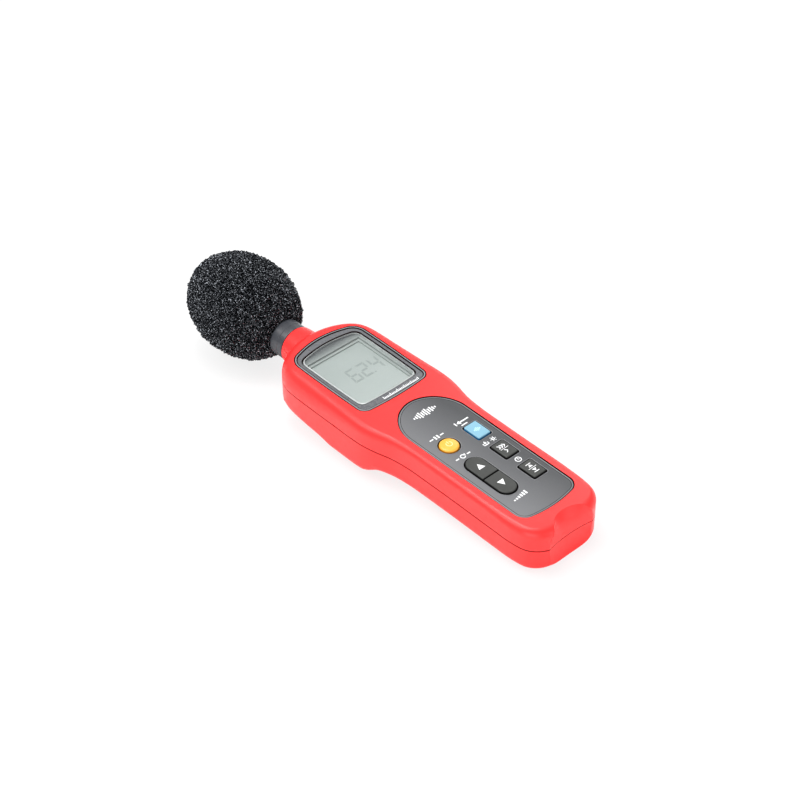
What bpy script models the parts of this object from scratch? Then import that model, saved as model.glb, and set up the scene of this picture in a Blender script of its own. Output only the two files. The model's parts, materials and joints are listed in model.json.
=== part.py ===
"""Handheld sound level meter: two-part moulded case, domed foam windscreen on a
half-inch microphone, framed display, keys in a recessed panel, battery bay.

Frame: metres, +X to the right seen from the front, +Y towards the microphone,
+Z out of the front face. The origin is on the flat pad of the back.
All dimensions below are millimetres; spans are (low, high) pairs.
"""
import math

import bmesh
import bpy
import numpy as np
from mathutils import Vector

MM = 0.001
GAP = 0.3                      # clearance between pieces that touch

# ---- case -------------------------------------------------------------------
FACE_Z = 33.0                  # front face
PART_Z = 20.2                  # joint line between the two case halves
FRONT_JOINT_Z = PART_Z + GAP / 2
REAR_JOINT_Z = PART_Z - GAP / 2
WALL = 2.2                     # front half wall
LIP_IN = 3.4                   # rear half wall, including its locating lip
CEILING_Z = 29.2               # underside of the front half's face
BACK_EDGE = 5.7                # radius of the rear half's edge
FACE_CUT = (25, 45)            # z span of cutters that pierce the face

# ---- microphone -------------------------------------------------------------
AXIS_Z = 17.0
MIC_AXIS = (0, 0, AXIS_Z)
MIC_R = 6.35                   # half-inch microphone barrel
MIC_BORE_R = MIC_R + GAP
NECK_BORE_R = 9.0
FOAM_Y, FOAM_R, FOAM_L = 127.4, 29.7, 38.3     # widest place, radius, half length
FOAM_Z = 18.8                  # the foam sits a little high on the barrel
FOAM_CUT_Y = 92.0              # flat mouth of the windscreen

# ---- battery bay ------------------------------------------------------------
CELL_R, CELL_LEN, CELL_PITCH, CELL_Z = 5.25, 43.6, 11.2, 12.85
BAY_Y0, BAY_Y1, BAY_X = -125.3, -73.7, 17.0    # ends and half width
BAY_MID_Y = (BAY_Y0 + BAY_Y1) / 2
BAY_HALF_Y = (BAY_Y1 - BAY_Y0) / 2
DOOR_Z = (5.2, 7.0)

# ---- board, panel and fasteners ---------------------------------------------
BOARD_Z = (20.9, 22.5)
MOUNT_Z = BOARD_Z[1] + GAP     # underside of what sits on the board
COMPONENT_TOP_Z = 25.2         # top of the switches and the trimmer body
PANEL_Z = (31.5, 32.7)
BOSS_R, SCREW_BORE_R = 2.4, 1.5
# x, y, z of the boss's free end, z from which the screw head is set off
BOSS_ROWS = [(25.2, 57.0, 9.4, 5.3), (20.2, -62.0, 9.0, 5.2)]
BOSSES = [(side * x, y, end_z, head_z)
          for x, y, end_z, head_z in BOSS_ROWS for side in (1, -1)]
BUSH_Y = 10.5                  # tripod bush

# ---- display ----------------------------------------------------------------
LCD_CENTRE = (0, 26.6)
SURROUND = dict(top_y=59.3, bottom_y=-3.7, top_half=24.5, bottom_half=24.3,
                top_corner=9.7, bottom_corner=5.6, bulge=2.6, sink=0.9, segments=6)

# ---- keys -------------------------------------------------------------------
POWER_CENTRE = (-8.3, -52.6)
POWER_CAP_R, POWER_FLANGE_R, POWER_HOLE_R = 5.5, 7.4, 6.2
RECT_KEYS = {"recall": (10.85, -53.9), "fast_slow": (10.85, -74.3), "max_min": (10.85, -94.7)}
RECT_HALF = (4.3, 5.9)         # half size of a rectangular key cap
RECT_FLANGE, RECT_HOLE = 1.8, 0.75             # added to that all round
LEVEL_CENTRE = (-8.5, -83.9)   # the two level keys share one stadium-shaped hole
LEVEL_HOLE_R, LEVEL_HALF = 6.25, 17.35
LEVEL_CAP_R, LEVEL_FLANGE_R = 5.45, 7.2
LEVEL_ORIGIN = 8.2             # level key origin, from the middle of the pair
KEY_TOP = 33.7
KEY_BODY_Z0 = 28.2
FLANGE_Z = (27.6, 28.9)        # key origins lie on the flange's top

# half of the case outline (x, y), from the microphone end to the butt end
HALF = [(0, 71.2), (4, 70.9), (9, 70.2), (14, 68.9), (19.5, 66.7), (24.2, 63.9),
        (28.5, 59.8), (31.1, 55), (32.3, 50), (32.75, 44), (32.95, 34), (33, 22),
        (33, 9), (33, -3), (32.4, -12.5), (30.5, -21.5), (28.3, -29.5),
        (26.9, -41), (26.6, -56), (26.5, -80), (26.6, -103), (26.4, -117.5),
        (24.6, -126.3), (19.6, -131.9), (13.8, -134.4), (7, -135.5), (0, -135.8)]
# rounding of the face edge: (y, reach inward) and (y, reach downward)
EDGE_IN = [(-136, 5.0), (-112, 4.0), (-100, 3.2), (-40, 3.2), (-4, 5.0), (30, 6.6),
           (49, 6.8), (72, 6.4)]
EDGE_DOWN = [(-136, 5.0), (-112, 4.0), (-100, 3.2), (-40, 3.2), (-4, 5.7), (30, 10.0),
             (49, 11.0), (58, 9.8), (72, 6.6)]
# height of the back (y, z), before its pad is trimmed flat at z = 0
BACK = [(-137, 5.2), (-22, 5.2), (-18.5, 4.5), (-12, 0.7), (-9.1, -0.35), (16, -0.35),
        (24.5, 1.4), (38, 2.6), (53, 4.1), (73, 5.4)]
EDGE_ANGLES = (0, 22.5, 45, 67.5, 90)          # stations round a case edge
# arched recess in the butt end: z, arch top y, half width, y where that is measured
RECESS_ROWS = [(42, -122.0, 12.6, -134.9), (33, -126.5, 12.8, -134.9),
               (29, -129.9, 14.2, -134.5), (25, -131.5, 15.8, -133.9),
               (20.2, -132.3, 16.0, -133.8), (12, -132.7, 15.0, -134.1),
               (4, -133.0, 14.2, -134.3), (-3, -133.2, 14.0, -134.3)]
RECESS_RY = 9.5                # semi-axis of the arch along y
# profiles turned about the microphone axis: (radius, y)
NECK = [(0, 66.0), (12.5, 66.0), (11.8, 74.7), (11.25, 81.0), (10.9, 81.3), (0, 81.3)]
COLLAR = [(MIC_BORE_R, 64.0), (8.7, 64.0), (8.7, 81.6), (10.4, 81.6), (10.9, 82.1),
          (10.9, 88.6), (10.55, 88.85), (10.9, 89.1), (10.9, 91.1), (10.4, 91.6),
          (MIC_BORE_R, 91.6)]
TUBE = [(5.2, 66.0), (MIC_R, 66.0), (MIC_R, 112.0), (5.2, 112.0)]
GRILLE = [(0, 112.3), (MIC_R, 112.3), (MIC_R, 113.4), (5.7, 114.0), (0, 114.0)]
# centre line of the microphone cable (x, y, z)
CABLE = [(0, 65.6, 17.0), (0.8, 63.5, 16.8), (2.5, 60.0, 16.4), (3.8, 56.0, 16.8),
         (4.4, 52.0, 18.2), (4.6, 48.5, 19.5)]

for old in list(bpy.data.objects):
    bpy.data.objects.remove(old, do_unlink=True)
for old in list(bpy.data.meshes):
    bpy.data.meshes.remove(old)

PARTS = bpy.data.collections.new("sound_level_meter")
CUTTERS = bpy.data.collections.new("cutters")
bpy.context.scene.collection.children.link(PARTS)
bpy.context.scene.collection.children.link(CUTTERS)


# ---- materials --------------------------------------------------------------
def material(name, rgb, roughness, metallic=0.0, alpha=1.0):
    mat = bpy.data.materials.new(name)
    mat.use_nodes = True
    inputs = mat.node_tree.nodes["Principled BSDF"].inputs
    inputs["Base Color"].default_value = (*rgb, 1)
    inputs["Roughness"].default_value = roughness
    inputs["Metallic"].default_value = metallic
    inputs["Alpha"].default_value = alpha
    mat.diffuse_color = (*rgb, alpha)
    return mat


RED, GREY, KEY_BLACK = (0.90, 0.07, 0.06), (0.20, 0.21, 0.22), (0.035, 0.036, 0.035)
BRASS, STEEL = (0.72, 0.52, 0.22), (0.62, 0.62, 0.64)
KEY_COLOURS = {"power": (0.85, 0.45, 0.02), "recall": (0.16, 0.52, 0.85)}   # others black

FRONT_MAT = material("red_plastic", RED, roughness=0.32)
REAR_MAT = material("red_plastic_rear", RED, roughness=0.32)
DOOR_MAT = material("red_plastic_door", RED, roughness=0.34)
CELL_MAT = material("cell_jacket", (0.05, 0.12, 0.10), roughness=0.35, metallic=0.3)
SPRING_MAT = material("spring_steel", STEEL, roughness=0.3, metallic=1.0)
CONTACT_MAT = material("contact_plate", (0.66, 0.64, 0.58), roughness=0.3, metallic=1.0)
BOARD_MAT = material("board_green", (0.02, 0.16, 0.06), roughness=0.45)
CHIP_MAT = material("chip_black", (0.02, 0.02, 0.022), roughness=0.4)
TRIMMER_MAT = material("trimmer_blue", (0.03, 0.12, 0.45), roughness=0.4)
ROTOR_MAT = material("trimmer_brass", BRASS, roughness=0.3, metallic=1.0)
GLASS_MAT = material("lcd_glass", (0.50, 0.54, 0.53), roughness=0.15)
FRAME_MAT = material("lcd_frame", (0.33, 0.34, 0.35), roughness=0.4)
GUIDE_MAT = material("light_guide", (0.8, 0.82, 0.82), roughness=0.2)
ZEBRA_MAT = material("zebra_rubber", (0.30, 0.12, 0.12), roughness=0.6)
BEZEL_MAT = material("bezel_grey", GREY, roughness=0.38)
WINDOW_MAT = material("window_clear", (0.85, 0.88, 0.88), roughness=0.05, alpha=0.35)
PANEL_MAT = material("panel_grey", GREY, roughness=0.4)
SWITCH_MAT = material("switch_housing", (0.04, 0.04, 0.045), roughness=0.5)
PLUNGER_MAT = material("switch_plunger", (0.10, 0.10, 0.11), roughness=0.5)
COLLAR_MAT = material("collar_grey", (0.05, 0.052, 0.055), roughness=0.35)
TUBE_MAT = material("tube_metal", (0.55, 0.56, 0.58), roughness=0.28, metallic=1.0)
CAPSULE_MAT = material("capsule_metal", (0.7, 0.7, 0.7), roughness=0.3, metallic=1.0)
GRILLE_MAT = material("grille_metal", (0.5, 0.5, 0.52), roughness=0.3, metallic=1.0)
CABLE_MAT = material("cable_black", (0.03, 0.03, 0.032), roughness=0.5)
FOAM_MAT = material("foam_black", (0.03, 0.032, 0.036), roughness=0.95)
SCREW_MAT = material("screw_steel", STEEL, roughness=0.35, metallic=1.0)
BUSH_MAT = material("bush_brass", BRASS, roughness=0.3, metallic=1.0)


# ---- outlines ---------------------------------------------------------------
def around(centre, half):
    """Span of a given half width about a centre."""
    return centre - half, centre + half


def resample(points, count):
    """count points evenly spaced by length along a polyline."""
    p = np.array(points)
    length = np.concatenate([[0], np.cumsum(np.linalg.norm(np.diff(p, axis=0), axis=1))])
    at = np.linspace(0, length[-1], count)
    return np.column_stack([np.interp(at, length, column) for column in p.T])


def smooth(points, count):
    """count points evenly spaced along a centripetal spline through points."""
    p = np.array(points, float)
    p = np.vstack([2 * p[0] - p[1], p, 2 * p[-1] - p[-2]])
    out = []
    for i in range(1, len(p) - 2):
        p0, p1, p2, p3 = p[i - 1:i + 3]
        t0 = 0.0
        t1 = t0 + math.sqrt(np.linalg.norm(p1 - p0))
        t2 = t1 + math.sqrt(np.linalg.norm(p2 - p1))
        t3 = t2 + math.sqrt(np.linalg.norm(p3 - p2))
        for t in np.linspace(t1, t2, 24, endpoint=False):
            a1 = (t1 - t) / (t1 - t0) * p0 + (t - t0) / (t1 - t0) * p1
            a2 = (t2 - t) / (t2 - t1) * p1 + (t - t1) / (t2 - t1) * p2
            a3 = (t3 - t) / (t3 - t2) * p2 + (t - t2) / (t3 - t2) * p3
            b1 = (t2 - t) / (t2 - t0) * a1 + (t - t0) / (t2 - t0) * a2
            b2 = (t3 - t) / (t3 - t1) * a2 + (t - t1) / (t3 - t1) * a3
            out.append((t2 - t) / (t2 - t1) * b1 + (t - t1) / (t2 - t1) * b2)
    out.append(p[-2])
    return resample(out, count)


def half_case(count, bend_weight=26, length_weight=0.35):
    """Half outline and inward normals; points gather where the outline bends."""
    dense = smooth(HALF, 400)
    tangent = np.gradient(dense, axis=0)
    normal = np.column_stack([tangent[:, 1], -tangent[:, 0]])
    normal /= np.linalg.norm(normal, axis=1)[:, None]
    normal[0], normal[-1] = (0, -1), (0, 1)
    turn = np.concatenate([[0], np.linalg.norm(np.diff(normal, axis=0), axis=1)])
    step = np.concatenate([[0], np.linalg.norm(np.diff(dense, axis=0), axis=1)])
    weight = np.cumsum(turn * bend_weight + step * length_weight)
    at = np.linspace(0, weight[-1], count)
    pts = np.column_stack([np.interp(at, weight, column) for column in dense.T])
    inward = np.column_stack([np.interp(at, weight, column) for column in normal.T])
    inward /= np.linalg.norm(inward, axis=1)[:, None]
    return pts, inward


CASE, INWARD = half_case(34)


def table(rows, y):
    """Second column of a table, interpolated at y."""
    keys, values = np.array(rows, float).T
    return np.interp(y, keys, values)


def inset(dist, ymin=-1e9, ymax=1e9):
    """Half outline moved inwards, trimmed to a range of y."""
    q = CASE + INWARD * np.reshape(dist, (-1, 1))
    q[0, 0] = q[-1, 0] = 0
    out = []
    for i, (x, y) in enumerate(q):
        for limit in (ymax, ymin):
            if i and (q[i - 1, 1] > limit) != (y > limit) if limit == ymax else \
                    i and (q[i - 1, 1] < limit) != (y < limit):
                f = (limit - q[i - 1, 1]) / (y - q[i - 1, 1])
                edge = (q[i - 1, 0] + f * (x - q[i - 1, 0]), limit)
                middle = (0, limit)
                out += [middle, edge] if limit == ymax else [edge, middle]
        if ymin <= y <= ymax:
            out.append((max(x, 0), y))
    return np.array(out)


def mirrored(half):
    """Closed outline or ring from a half whose ends lie on the middle plane."""
    right = [tuple(p) for p in half]
    return right + [(-p[0], *p[1:]) for p in reversed(right[1:-1])]


def raised(outline, z):
    """Flat outline as a ring at height z."""
    return [(x, y, z) for x, y in outline]


def arc(centre, radius, start, end, count, radius_y=None):
    """Points on a circle or ellipse between two angles in degrees."""
    radius_y = radius if radius_y is None else radius_y
    return [(centre[0] + radius * math.cos(math.radians(a)),
             centre[1] + radius_y * math.sin(math.radians(a)))
            for a in np.linspace(start, end, count)]


def rounded(centre, half, corner, segments):
    """Rectangle with rounded corners."""
    out = []
    for i, (sx, sy) in enumerate(((1, 1), (-1, 1), (-1, -1), (1, -1))):
        middle = (centre[0] + sx * (half[0] - corner), centre[1] + sy * (half[1] - corner))
        out += arc(middle, corner, 90 * i, 90 * i + 90, segments + 1)
    return out


def display_outline(top_y, bottom_y, top_half, bottom_half, top_corner, bottom_corner,
                    bulge, sink, segments, grow=0.0):
    """Rounded rectangle whose top edge bows up by bulge and bottom edge down by sink."""
    top = arc((top_half - top_corner, top_y - top_corner), top_corner + grow, 0, 80, segments)
    end_x, end_y = top[-1]
    crown_y = top_y + grow + bulge
    half = [(0, crown_y)]
    half += [(end_x * f, crown_y - (crown_y - end_y) * f ** 2) for f in (0.25, 0.5, 0.75)]
    half += top[::-1]
    half += [(top_half + 0.25 + grow, (top_y + bottom_y) / 2)]
    half += arc((bottom_half - bottom_corner, bottom_y + bottom_corner),
                bottom_corner + grow, 0, -86, segments - 1)
    half += [(bottom_half * 0.4, bottom_y - grow - sink * 0.84), (0, bottom_y - grow - sink)]
    return mirrored(half)


def window_outline(margin):
    """Opening of the display window, widened all round by margin."""
    return display_outline(top_y=53.6 + margin, bottom_y=2.6 - margin,
                           top_half=20.4 + margin, bottom_half=20.2 + margin,
                           top_corner=5.2, bottom_corner=3.8, bulge=2.0, sink=0.5, segments=5)


def panel_outline(grow=0.0):
    """Keypad panel: arched top, nearly straight sides, rounded bottom corners."""
    arch_x, arch_y, arch_height, power = 20.5, -35.1, 22.2, 1.04
    bottom_half, bottom_y, corner = 20.2, -119.7, 7.4
    half = [(0, -12.9 + grow)]
    for a in np.linspace(90, 0, 11)[1:]:
        c, s = math.cos(math.radians(a)), math.sin(math.radians(a))
        half.append(((arch_x + grow) * c ** power, arch_y + (arch_height + grow) * s ** power))
    half.append((20.35 + grow, -75))
    half += arc((bottom_half - corner, bottom_y + corner), corner + grow, 0, -84, 6)
    half += [(6.5, -120.8 - grow), (0, -121.0 - grow)]
    return mirrored(half)


def rect_key_outline(tag, margin, corner):
    half = (RECT_HALF[0] + margin, RECT_HALF[1] + margin)
    return rounded(RECT_KEYS[tag], half, corner, 2)


def level_key_outline(sign, radius, split):
    """Half of a stadium concentric with the level hole; sign +1 is the upper half.
    split is the distance of its straight edge from the middle."""
    cx, cy = LEVEL_CENTRE
    length = LEVEL_HALF + radius - LEVEL_HOLE_R
    end = arc((cx, cy + length - radius), radius, 0, 180, 9)
    pts = [(cx + radius, cy + split)] + end + [(cx - radius, cy + split)]
    if sign < 0:
        pts = [(x, 2 * cy - y) for x, y in reversed(pts)]
    return pts


def rod(radius, y0, y1):
    """Turned profile of a plain cylinder."""
    return [(0, y0), (radius, y0), (radius, y1), (0, y1)]


# ---- solids -----------------------------------------------------------------
# A solid made without a material is a cutter: a hidden helper for booleans.
def finish(name, bm, mat, sharp_deg=35):
    bmesh.ops.remove_doubles(bm, verts=bm.verts, dist=1e-6)
    bmesh.ops.recalc_face_normals(bm, faces=bm.faces)
    mesh = bpy.data.meshes.new(name)
    bm.to_mesh(mesh)
    bm.free()
    ob = bpy.data.objects.new(name, mesh)
    if mat is None:
        CUTTERS.objects.link(ob)
        ob.hide_render = True
        ob.display_type = 'WIRE'
    else:
        PARTS.objects.link(ob)
        mesh.materials.append(mat)
        mesh.shade_smooth()
        mesh.set_sharp_from_angle(angle=math.radians(sharp_deg))
    return ob


def temporary(name, data):
    ob = bpy.data.objects.new(name + "_temporary", data)
    CUTTERS.objects.link(ob)
    return ob


def baked(ob):
    """Evaluated mesh of a temporary object, which is then removed."""
    bpy.context.view_layer.update()
    evaluated = ob.evaluated_get(bpy.context.evaluated_depsgraph_get())
    mesh = bpy.data.meshes.new_from_object(evaluated)
    bpy.data.objects.remove(ob, do_unlink=True)
    bm = bmesh.new()
    bm.from_mesh(mesh)
    return bm


def poly_curve(name, points, dimensions, cyclic):
    curve = bpy.data.curves.new(name, 'CURVE')
    curve.dimensions = dimensions
    spline = curve.splines.new('POLY')
    spline.points.add(len(points) - 1)
    for point, (x, y, z) in zip(spline.points, points):
        point.co = (x * MM, y * MM, z * MM, 1)
    spline.use_cyclic_u = cyclic
    return curve


def stack(name, rings, mat=None, strips=False):
    """Closed solid through rings of equal length.
    With strips, each end is closed by bands across the middle plane."""
    bm = bmesh.new()
    vs = [[bm.verts.new([c * MM for c in p]) for p in ring] for ring in rings]
    n = len(vs[0])
    for a, b in zip(vs, vs[1:]):
        for i in range(n):
            j = (i + 1) % n
            bm.faces.new((a[i], a[j], b[j], b[i]))
    for ring in (vs[0], vs[-1]):
        if not strips:
            bm.faces.new(ring)
            continue
        h = n // 2
        bm.faces.new((ring[0], ring[1], ring[n - 1]))
        for i in range(1, h - 1):
            bm.faces.new((ring[i], ring[i + 1], ring[n - i - 1], ring[n - i]))
        bm.faces.new((ring[h - 1], ring[h], ring[h + 1]))
    return finish(name, bm, mat)


def prism(name, outline, span, mat=None, crown=0.0, steps=2, along="Z"):
    """Flat outline as a filled 2D curve, extruded over span; crown rounds the top
    edge. Along Y the outline is in (x, z) and the span is in y."""
    o = [Vector(p) for p in outline]
    # points on a straight run are dropped
    corners = [p for a, p, b in zip(o[-1:] + o[:-1], o, o[1:] + o[:1])
               if abs((p - a).normalized().cross((b - p).normalized())) > 1e-4]
    curve = poly_curve(name, raised(corners, 0), '2D', True)
    curve.fill_mode = 'BOTH'
    curve.extrude = (span[1] - span[0]) / 2 * MM
    bm = baked(temporary(name, curve))
    bmesh.ops.remove_doubles(bm, verts=bm.verts, dist=1e-6)
    flat = [e for e in bm.edges
            if len(e.link_faces) == 2 and all(abs(f.normal.z) > 0.999 for f in e.link_faces)]
    bmesh.ops.dissolve_edges(bm, edges=flat, use_verts=False)
    if crown:
        top = (span[1] - span[0]) / 2 * MM
        rim = [e for e in bm.edges if all(abs(v.co.z - top) < 1e-7 for v in e.verts)]
        bmesh.ops.bevel(bm, geom=rim, offset=crown * MM, offset_type='OFFSET', segments=steps,
                        profile=0.5, affect='EDGES', clamp_overlap=True)
    middle = (span[0] + span[1]) / 2 * MM
    for v in bm.verts:
        x, y, z = v.co
        v.co = (x, middle - z, y) if along == "Y" else (x, y, middle + z)
    return finish(name, bm, mat)


def box(name, xs, ys, zs, mat=None):
    """Block filling a span on each axis."""
    low, high = zip(xs, ys, zs)
    bm = bmesh.new()
    bmesh.ops.create_cube(bm, size=MM)
    bmesh.ops.scale(bm, vec=[b - a for a, b in zip(low, high)], verts=bm.verts)
    bmesh.ops.translate(bm, vec=Vector([a + b for a, b in zip(low, high)]) * MM / 2,
                        verts=bm.verts)
    return finish(name, bm, mat)


def turned(name, profile, at, steps, mat=None, along="Y"):
    """Round solid from (radius, height) points, spun with Screw. A profile that
    starts off the axis is closed into a tube."""
    bm = bmesh.new()
    vs = [bm.verts.new((r * MM, 0, h * MM)) for r, h in profile]
    for a, b in zip(vs, vs[1:]):
        bm.edges.new((a, b))
    if profile[0][0] > 0:
        bm.edges.new((vs[-1], vs[0]))
    mesh = bpy.data.meshes.new(name + "_profile")
    bm.to_mesh(mesh)
    bm.free()
    ob = temporary(name, mesh)
    spin = ob.modifiers.new("spin", 'SCREW')
    spin.axis, spin.angle = 'Z', 2 * math.pi
    spin.steps = spin.render_steps = steps
    spin.use_merge_vertices, spin.merge_threshold = True, 1e-6
    spin.use_normal_calculate = True
    bm = baked(ob)
    for v in bm.verts:
        x, y, z = v.co
        if along == "Y":
            y, z = z, -y
        v.co = (x + at[0] * MM, y + at[1] * MM, z + at[2] * MM)
    return finish(name, bm, mat, sharp_deg=40)


def disc(name, centre, radius, span, sides, mat=None):
    """Cylinder along z."""
    bm = bmesh.new()
    bmesh.ops.create_cone(bm, cap_ends=True, segments=sides, radius1=radius * MM,
                          radius2=radius * MM, depth=(span[1] - span[0]) * MM)
    middle = Vector((centre[0], centre[1], (span[0] + span[1]) / 2)) * MM
    bmesh.ops.translate(bm, vec=middle, verts=bm.verts)
    return finish(name, bm, mat)


def wire(name, points, radius, mat):
    curve = poly_curve(name, points, '3D', False)
    curve.bevel_depth, curve.bevel_resolution = radius * MM, 2
    curve.use_fill_caps = True
    return finish(name, baked(temporary(name, curve)), mat)


def boolean(ob, tool, how):
    mod = ob.modifiers.new(tool.name, 'BOOLEAN')
    mod.operation, mod.solver, mod.object = how, 'EXACT', tool


def cut(ob, tool):
    boolean(ob, tool, 'DIFFERENCE')


def join(ob, tool):
    boolean(ob, tool, 'UNION')


def set_origin(ob, x, y, z):
    """Move a piece's origin without moving its surface."""
    at = Vector((x * MM, y * MM, z * MM))
    for v in ob.data.vertices:
        v.co -= at
    ob.location = at


# ---- case halves ------------------------------------------------------------
def joint_ring(z):
    return mirrored(raised(inset(0), z))


def front_ring(angle):
    """Station of the face edge, from 0 at the side to 90 degrees on the face."""
    c, s = math.cos(math.radians(angle)), math.sin(math.radians(angle))
    q = inset(table(EDGE_IN, CASE[:, 1]) * (1 - c))
    z = FACE_Z - table(EDGE_DOWN, CASE[:, 1]) * (1 - s)
    return mirrored(np.column_stack([q, z]))


def rear_ring(angle):
    """Station of the back edge, from 0 at the side to 90 degrees on the back."""
    c, s = math.cos(math.radians(angle)), math.sin(math.radians(angle))
    q = inset(BACK_EDGE * (1 - c))
    z = table(BACK, q[:, 1]) + BACK_EDGE * (1 - s)
    return mirrored(np.column_stack([q, z]))


def recess_cutter():
    """Recess across the butt end: wide arch at the face, shallower towards the back."""
    rings = []
    for z, apex_y, half_width, end_y in RECESS_ROWS:
        centre_y = apex_y - RECESS_RY
        radius_x = half_width / math.sqrt(1 - ((end_y - centre_y) / RECESS_RY) ** 2)
        loop = arc((0, centre_y), radius_x, -90, 270, 41, RECESS_RY)
        rings.append(raised(loop[:-1], z))
    return stack("recess_cut", rings)


def half_neck(name, waste_name, waste_z):
    """Round neck with the part inside the waste_z span taken off."""
    neck = turned(name, NECK, MIC_AXIS, steps=28)
    cut(neck, box(waste_name, (-20, 20), (60, 90), waste_z))
    return neck


def front_hollow():
    """Cavity of the front half: straight sides, softened far edge."""
    wall, end_y, radius = WALL + 0.5, -123.5, 4.0
    rings = []
    # (step inwards, height)
    for step, z in ((0, 19.0), (0, CEILING_Z - radius),
                    (radius * 0.3, CEILING_Z - radius * 0.3), (radius, CEILING_Z)):
        ring = raised(mirrored(inset(wall + step, ymin=end_y + step)), z)
        rings.append(resample(ring + ring[:1], 65)[:-1])
    return stack("front_hollow", rings)


def rear_hollow():
    """Cavity of the rear half; its floor follows the stepped back."""
    floor_radius, end_y = 3.0, -127.1
    rings = []
    # (step inwards, height above the back), None for the open end
    for step, lift in ((0, None), (0, WALL + floor_radius), (floor_radius, WALL)):
        half = resample(inset(LIP_IN + step, ymin=end_y + step), 46)
        y = half[:, 1]
        z = np.full_like(y, 25.0) if lift is None else table(BACK, y) + lift
        rings.append(mirrored(np.column_stack([half, z])))
    return stack("rear_hollow", rings, strips=True)


def key_holes(tag):
    """Cutters for all the key openings."""
    holes = [disc(tag + "_power_hole", POWER_CENTRE, POWER_HOLE_R, FACE_CUT, sides=24)]
    for key in RECT_KEYS:
        outline = rect_key_outline(key, RECT_HOLE, 1.2)
        holes.append(prism(f"{tag}_{key}_hole", outline, FACE_CUT))
    x, y = LEVEL_CENTRE
    reach = LEVEL_HALF - LEVEL_HOLE_R
    stadium = (arc((x, y + reach), LEVEL_HOLE_R, 0, 180, 11)
               + arc((x, y - reach), LEVEL_HOLE_R, 180, 360, 11))
    holes.append(prism(tag + "_level_hole", stadium, FACE_CUT))
    return holes


def front_case(recess):
    front = stack("front_case", [joint_ring(FRONT_JOINT_Z)] + [front_ring(a) for a in EDGE_ANGLES],
                  FRONT_MAT, strips=True)
    join(front, half_neck("neck_up", "neck_low_half", (0, FRONT_JOINT_Z)))
    cut(front, front_hollow())
    cut(front, prism("lip_groove", mirrored(inset(WALL, ymin=-128.3)), (19.0, 21.8)))
    for i, (x, y, end_z, _) in enumerate(BOSSES):
        join(front, disc(f"boss_{i}", (x, y), BOSS_R, (end_z, CEILING_Z + 0.6), sides=12))
        cut(front, disc(f"boss_bore_{i}", (x, y), SCREW_BORE_R, (end_z - 1, 21.5), sides=10))
    cut(front, prism("bezel_opening", display_outline(**SURROUND, grow=GAP), (24, 45)))
    cut(front, prism("panel_pocket", panel_outline(GAP), (PANEL_Z[0] - GAP, 45)))
    for hole in key_holes("case"):
        cut(front, hole)
    cut(front, turned("neck_bore", rod(NECK_BORE_R, 60, 85), MIC_AXIS, steps=28))
    cut(front, recess)


def rear_bay(rear):
    """Battery bay: block, its hollow, and slots for the two contact tails."""
    block_wall, butt_wall = 1.5, 3.4
    join(rear, box("bay_block", around(0, BAY_X + block_wall),
                   (BAY_Y0 - butt_wall, BAY_Y1 + block_wall), (6.0, 19.9)))
    cut(rear, box("bay", around(0, BAY_X), (BAY_Y0, BAY_Y1), (-1.0, 18.4)))
    for i, (x, y) in enumerate(((-CELL_PITCH, BAY_Y1 - 0.5), (CELL_PITCH, BAY_Y0 + 0.5))):
        cut(rear, box(f"tail_slot_{i}", around(x, 1.6), around(y, 0.5), (15, 21)))


def rear_case(recess):
    rear = stack("rear_case", [joint_ring(REAR_JOINT_Z)] + [rear_ring(a) for a in EDGE_ANGLES],
                 REAR_MAT, strips=True)
    join(rear, half_neck("neck_down", "neck_high_half", (REAR_JOINT_Z, 40)))
    join(rear, prism("lip", mirrored(inset(WALL + GAP, ymin=-128.0)), (14.0, 21.4)))
    cut(rear, rear_hollow())
    rear_bay(rear)
    for i, (x, y, end_z, head_z) in enumerate(BOSSES):
        at = (x, y)
        join(rear, disc(f"screw_pad_{i}", at, 3.9, (head_z + 1.0, end_z - GAP), sides=12))
        cut(rear, disc(f"screw_seat_{i}", at, 2.8, (-2, head_z + 2.1), sides=12))
        cut(rear, disc(f"screw_hole_{i}", at, SCREW_BORE_R, (head_z + 1.5, end_z + 1), sides=10))
        cut(rear, disc(f"boss_room_{i}", at, BOSS_R + GAP, (end_z - GAP, 25), sides=12))
    join(rear, disc("bush_pad", (0, BUSH_Y), 7.0, (1.2, 9.0), sides=20))
    cut(rear, disc("bush_hole", (0, BUSH_Y), 4.8, (-2, 10), sides=20))
    cut(rear, turned("neck_bore_rear", rod(NECK_BORE_R, 60.5, 84), MIC_AXIS, steps=30))
    cut(rear, recess)
    cut(rear, box("pad_trim", (-45, 45), (-40, 45), (-6, 0)))


# ---- battery door, cells and contacts ---------------------------------------
def battery_door():
    door = prism("battery_door", rounded((0, BAY_MID_Y), (BAY_X - GAP, BAY_HALF_Y - GAP), 0.6, 1),
                 DOOR_Z, DOOR_MAT)
    for i in range(4):                         # each groove is shorter than the last
        y = BAY_Y1 - 6 - 2.0 * i
        cut(door, box(f"grip_groove_{i}", around(0, 6 - i * 1.2), around(y, 0.45), (4, 5.8)))
    set_origin(door, 0, BAY_MID_Y, sum(DOOR_Z) / 2)


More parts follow.
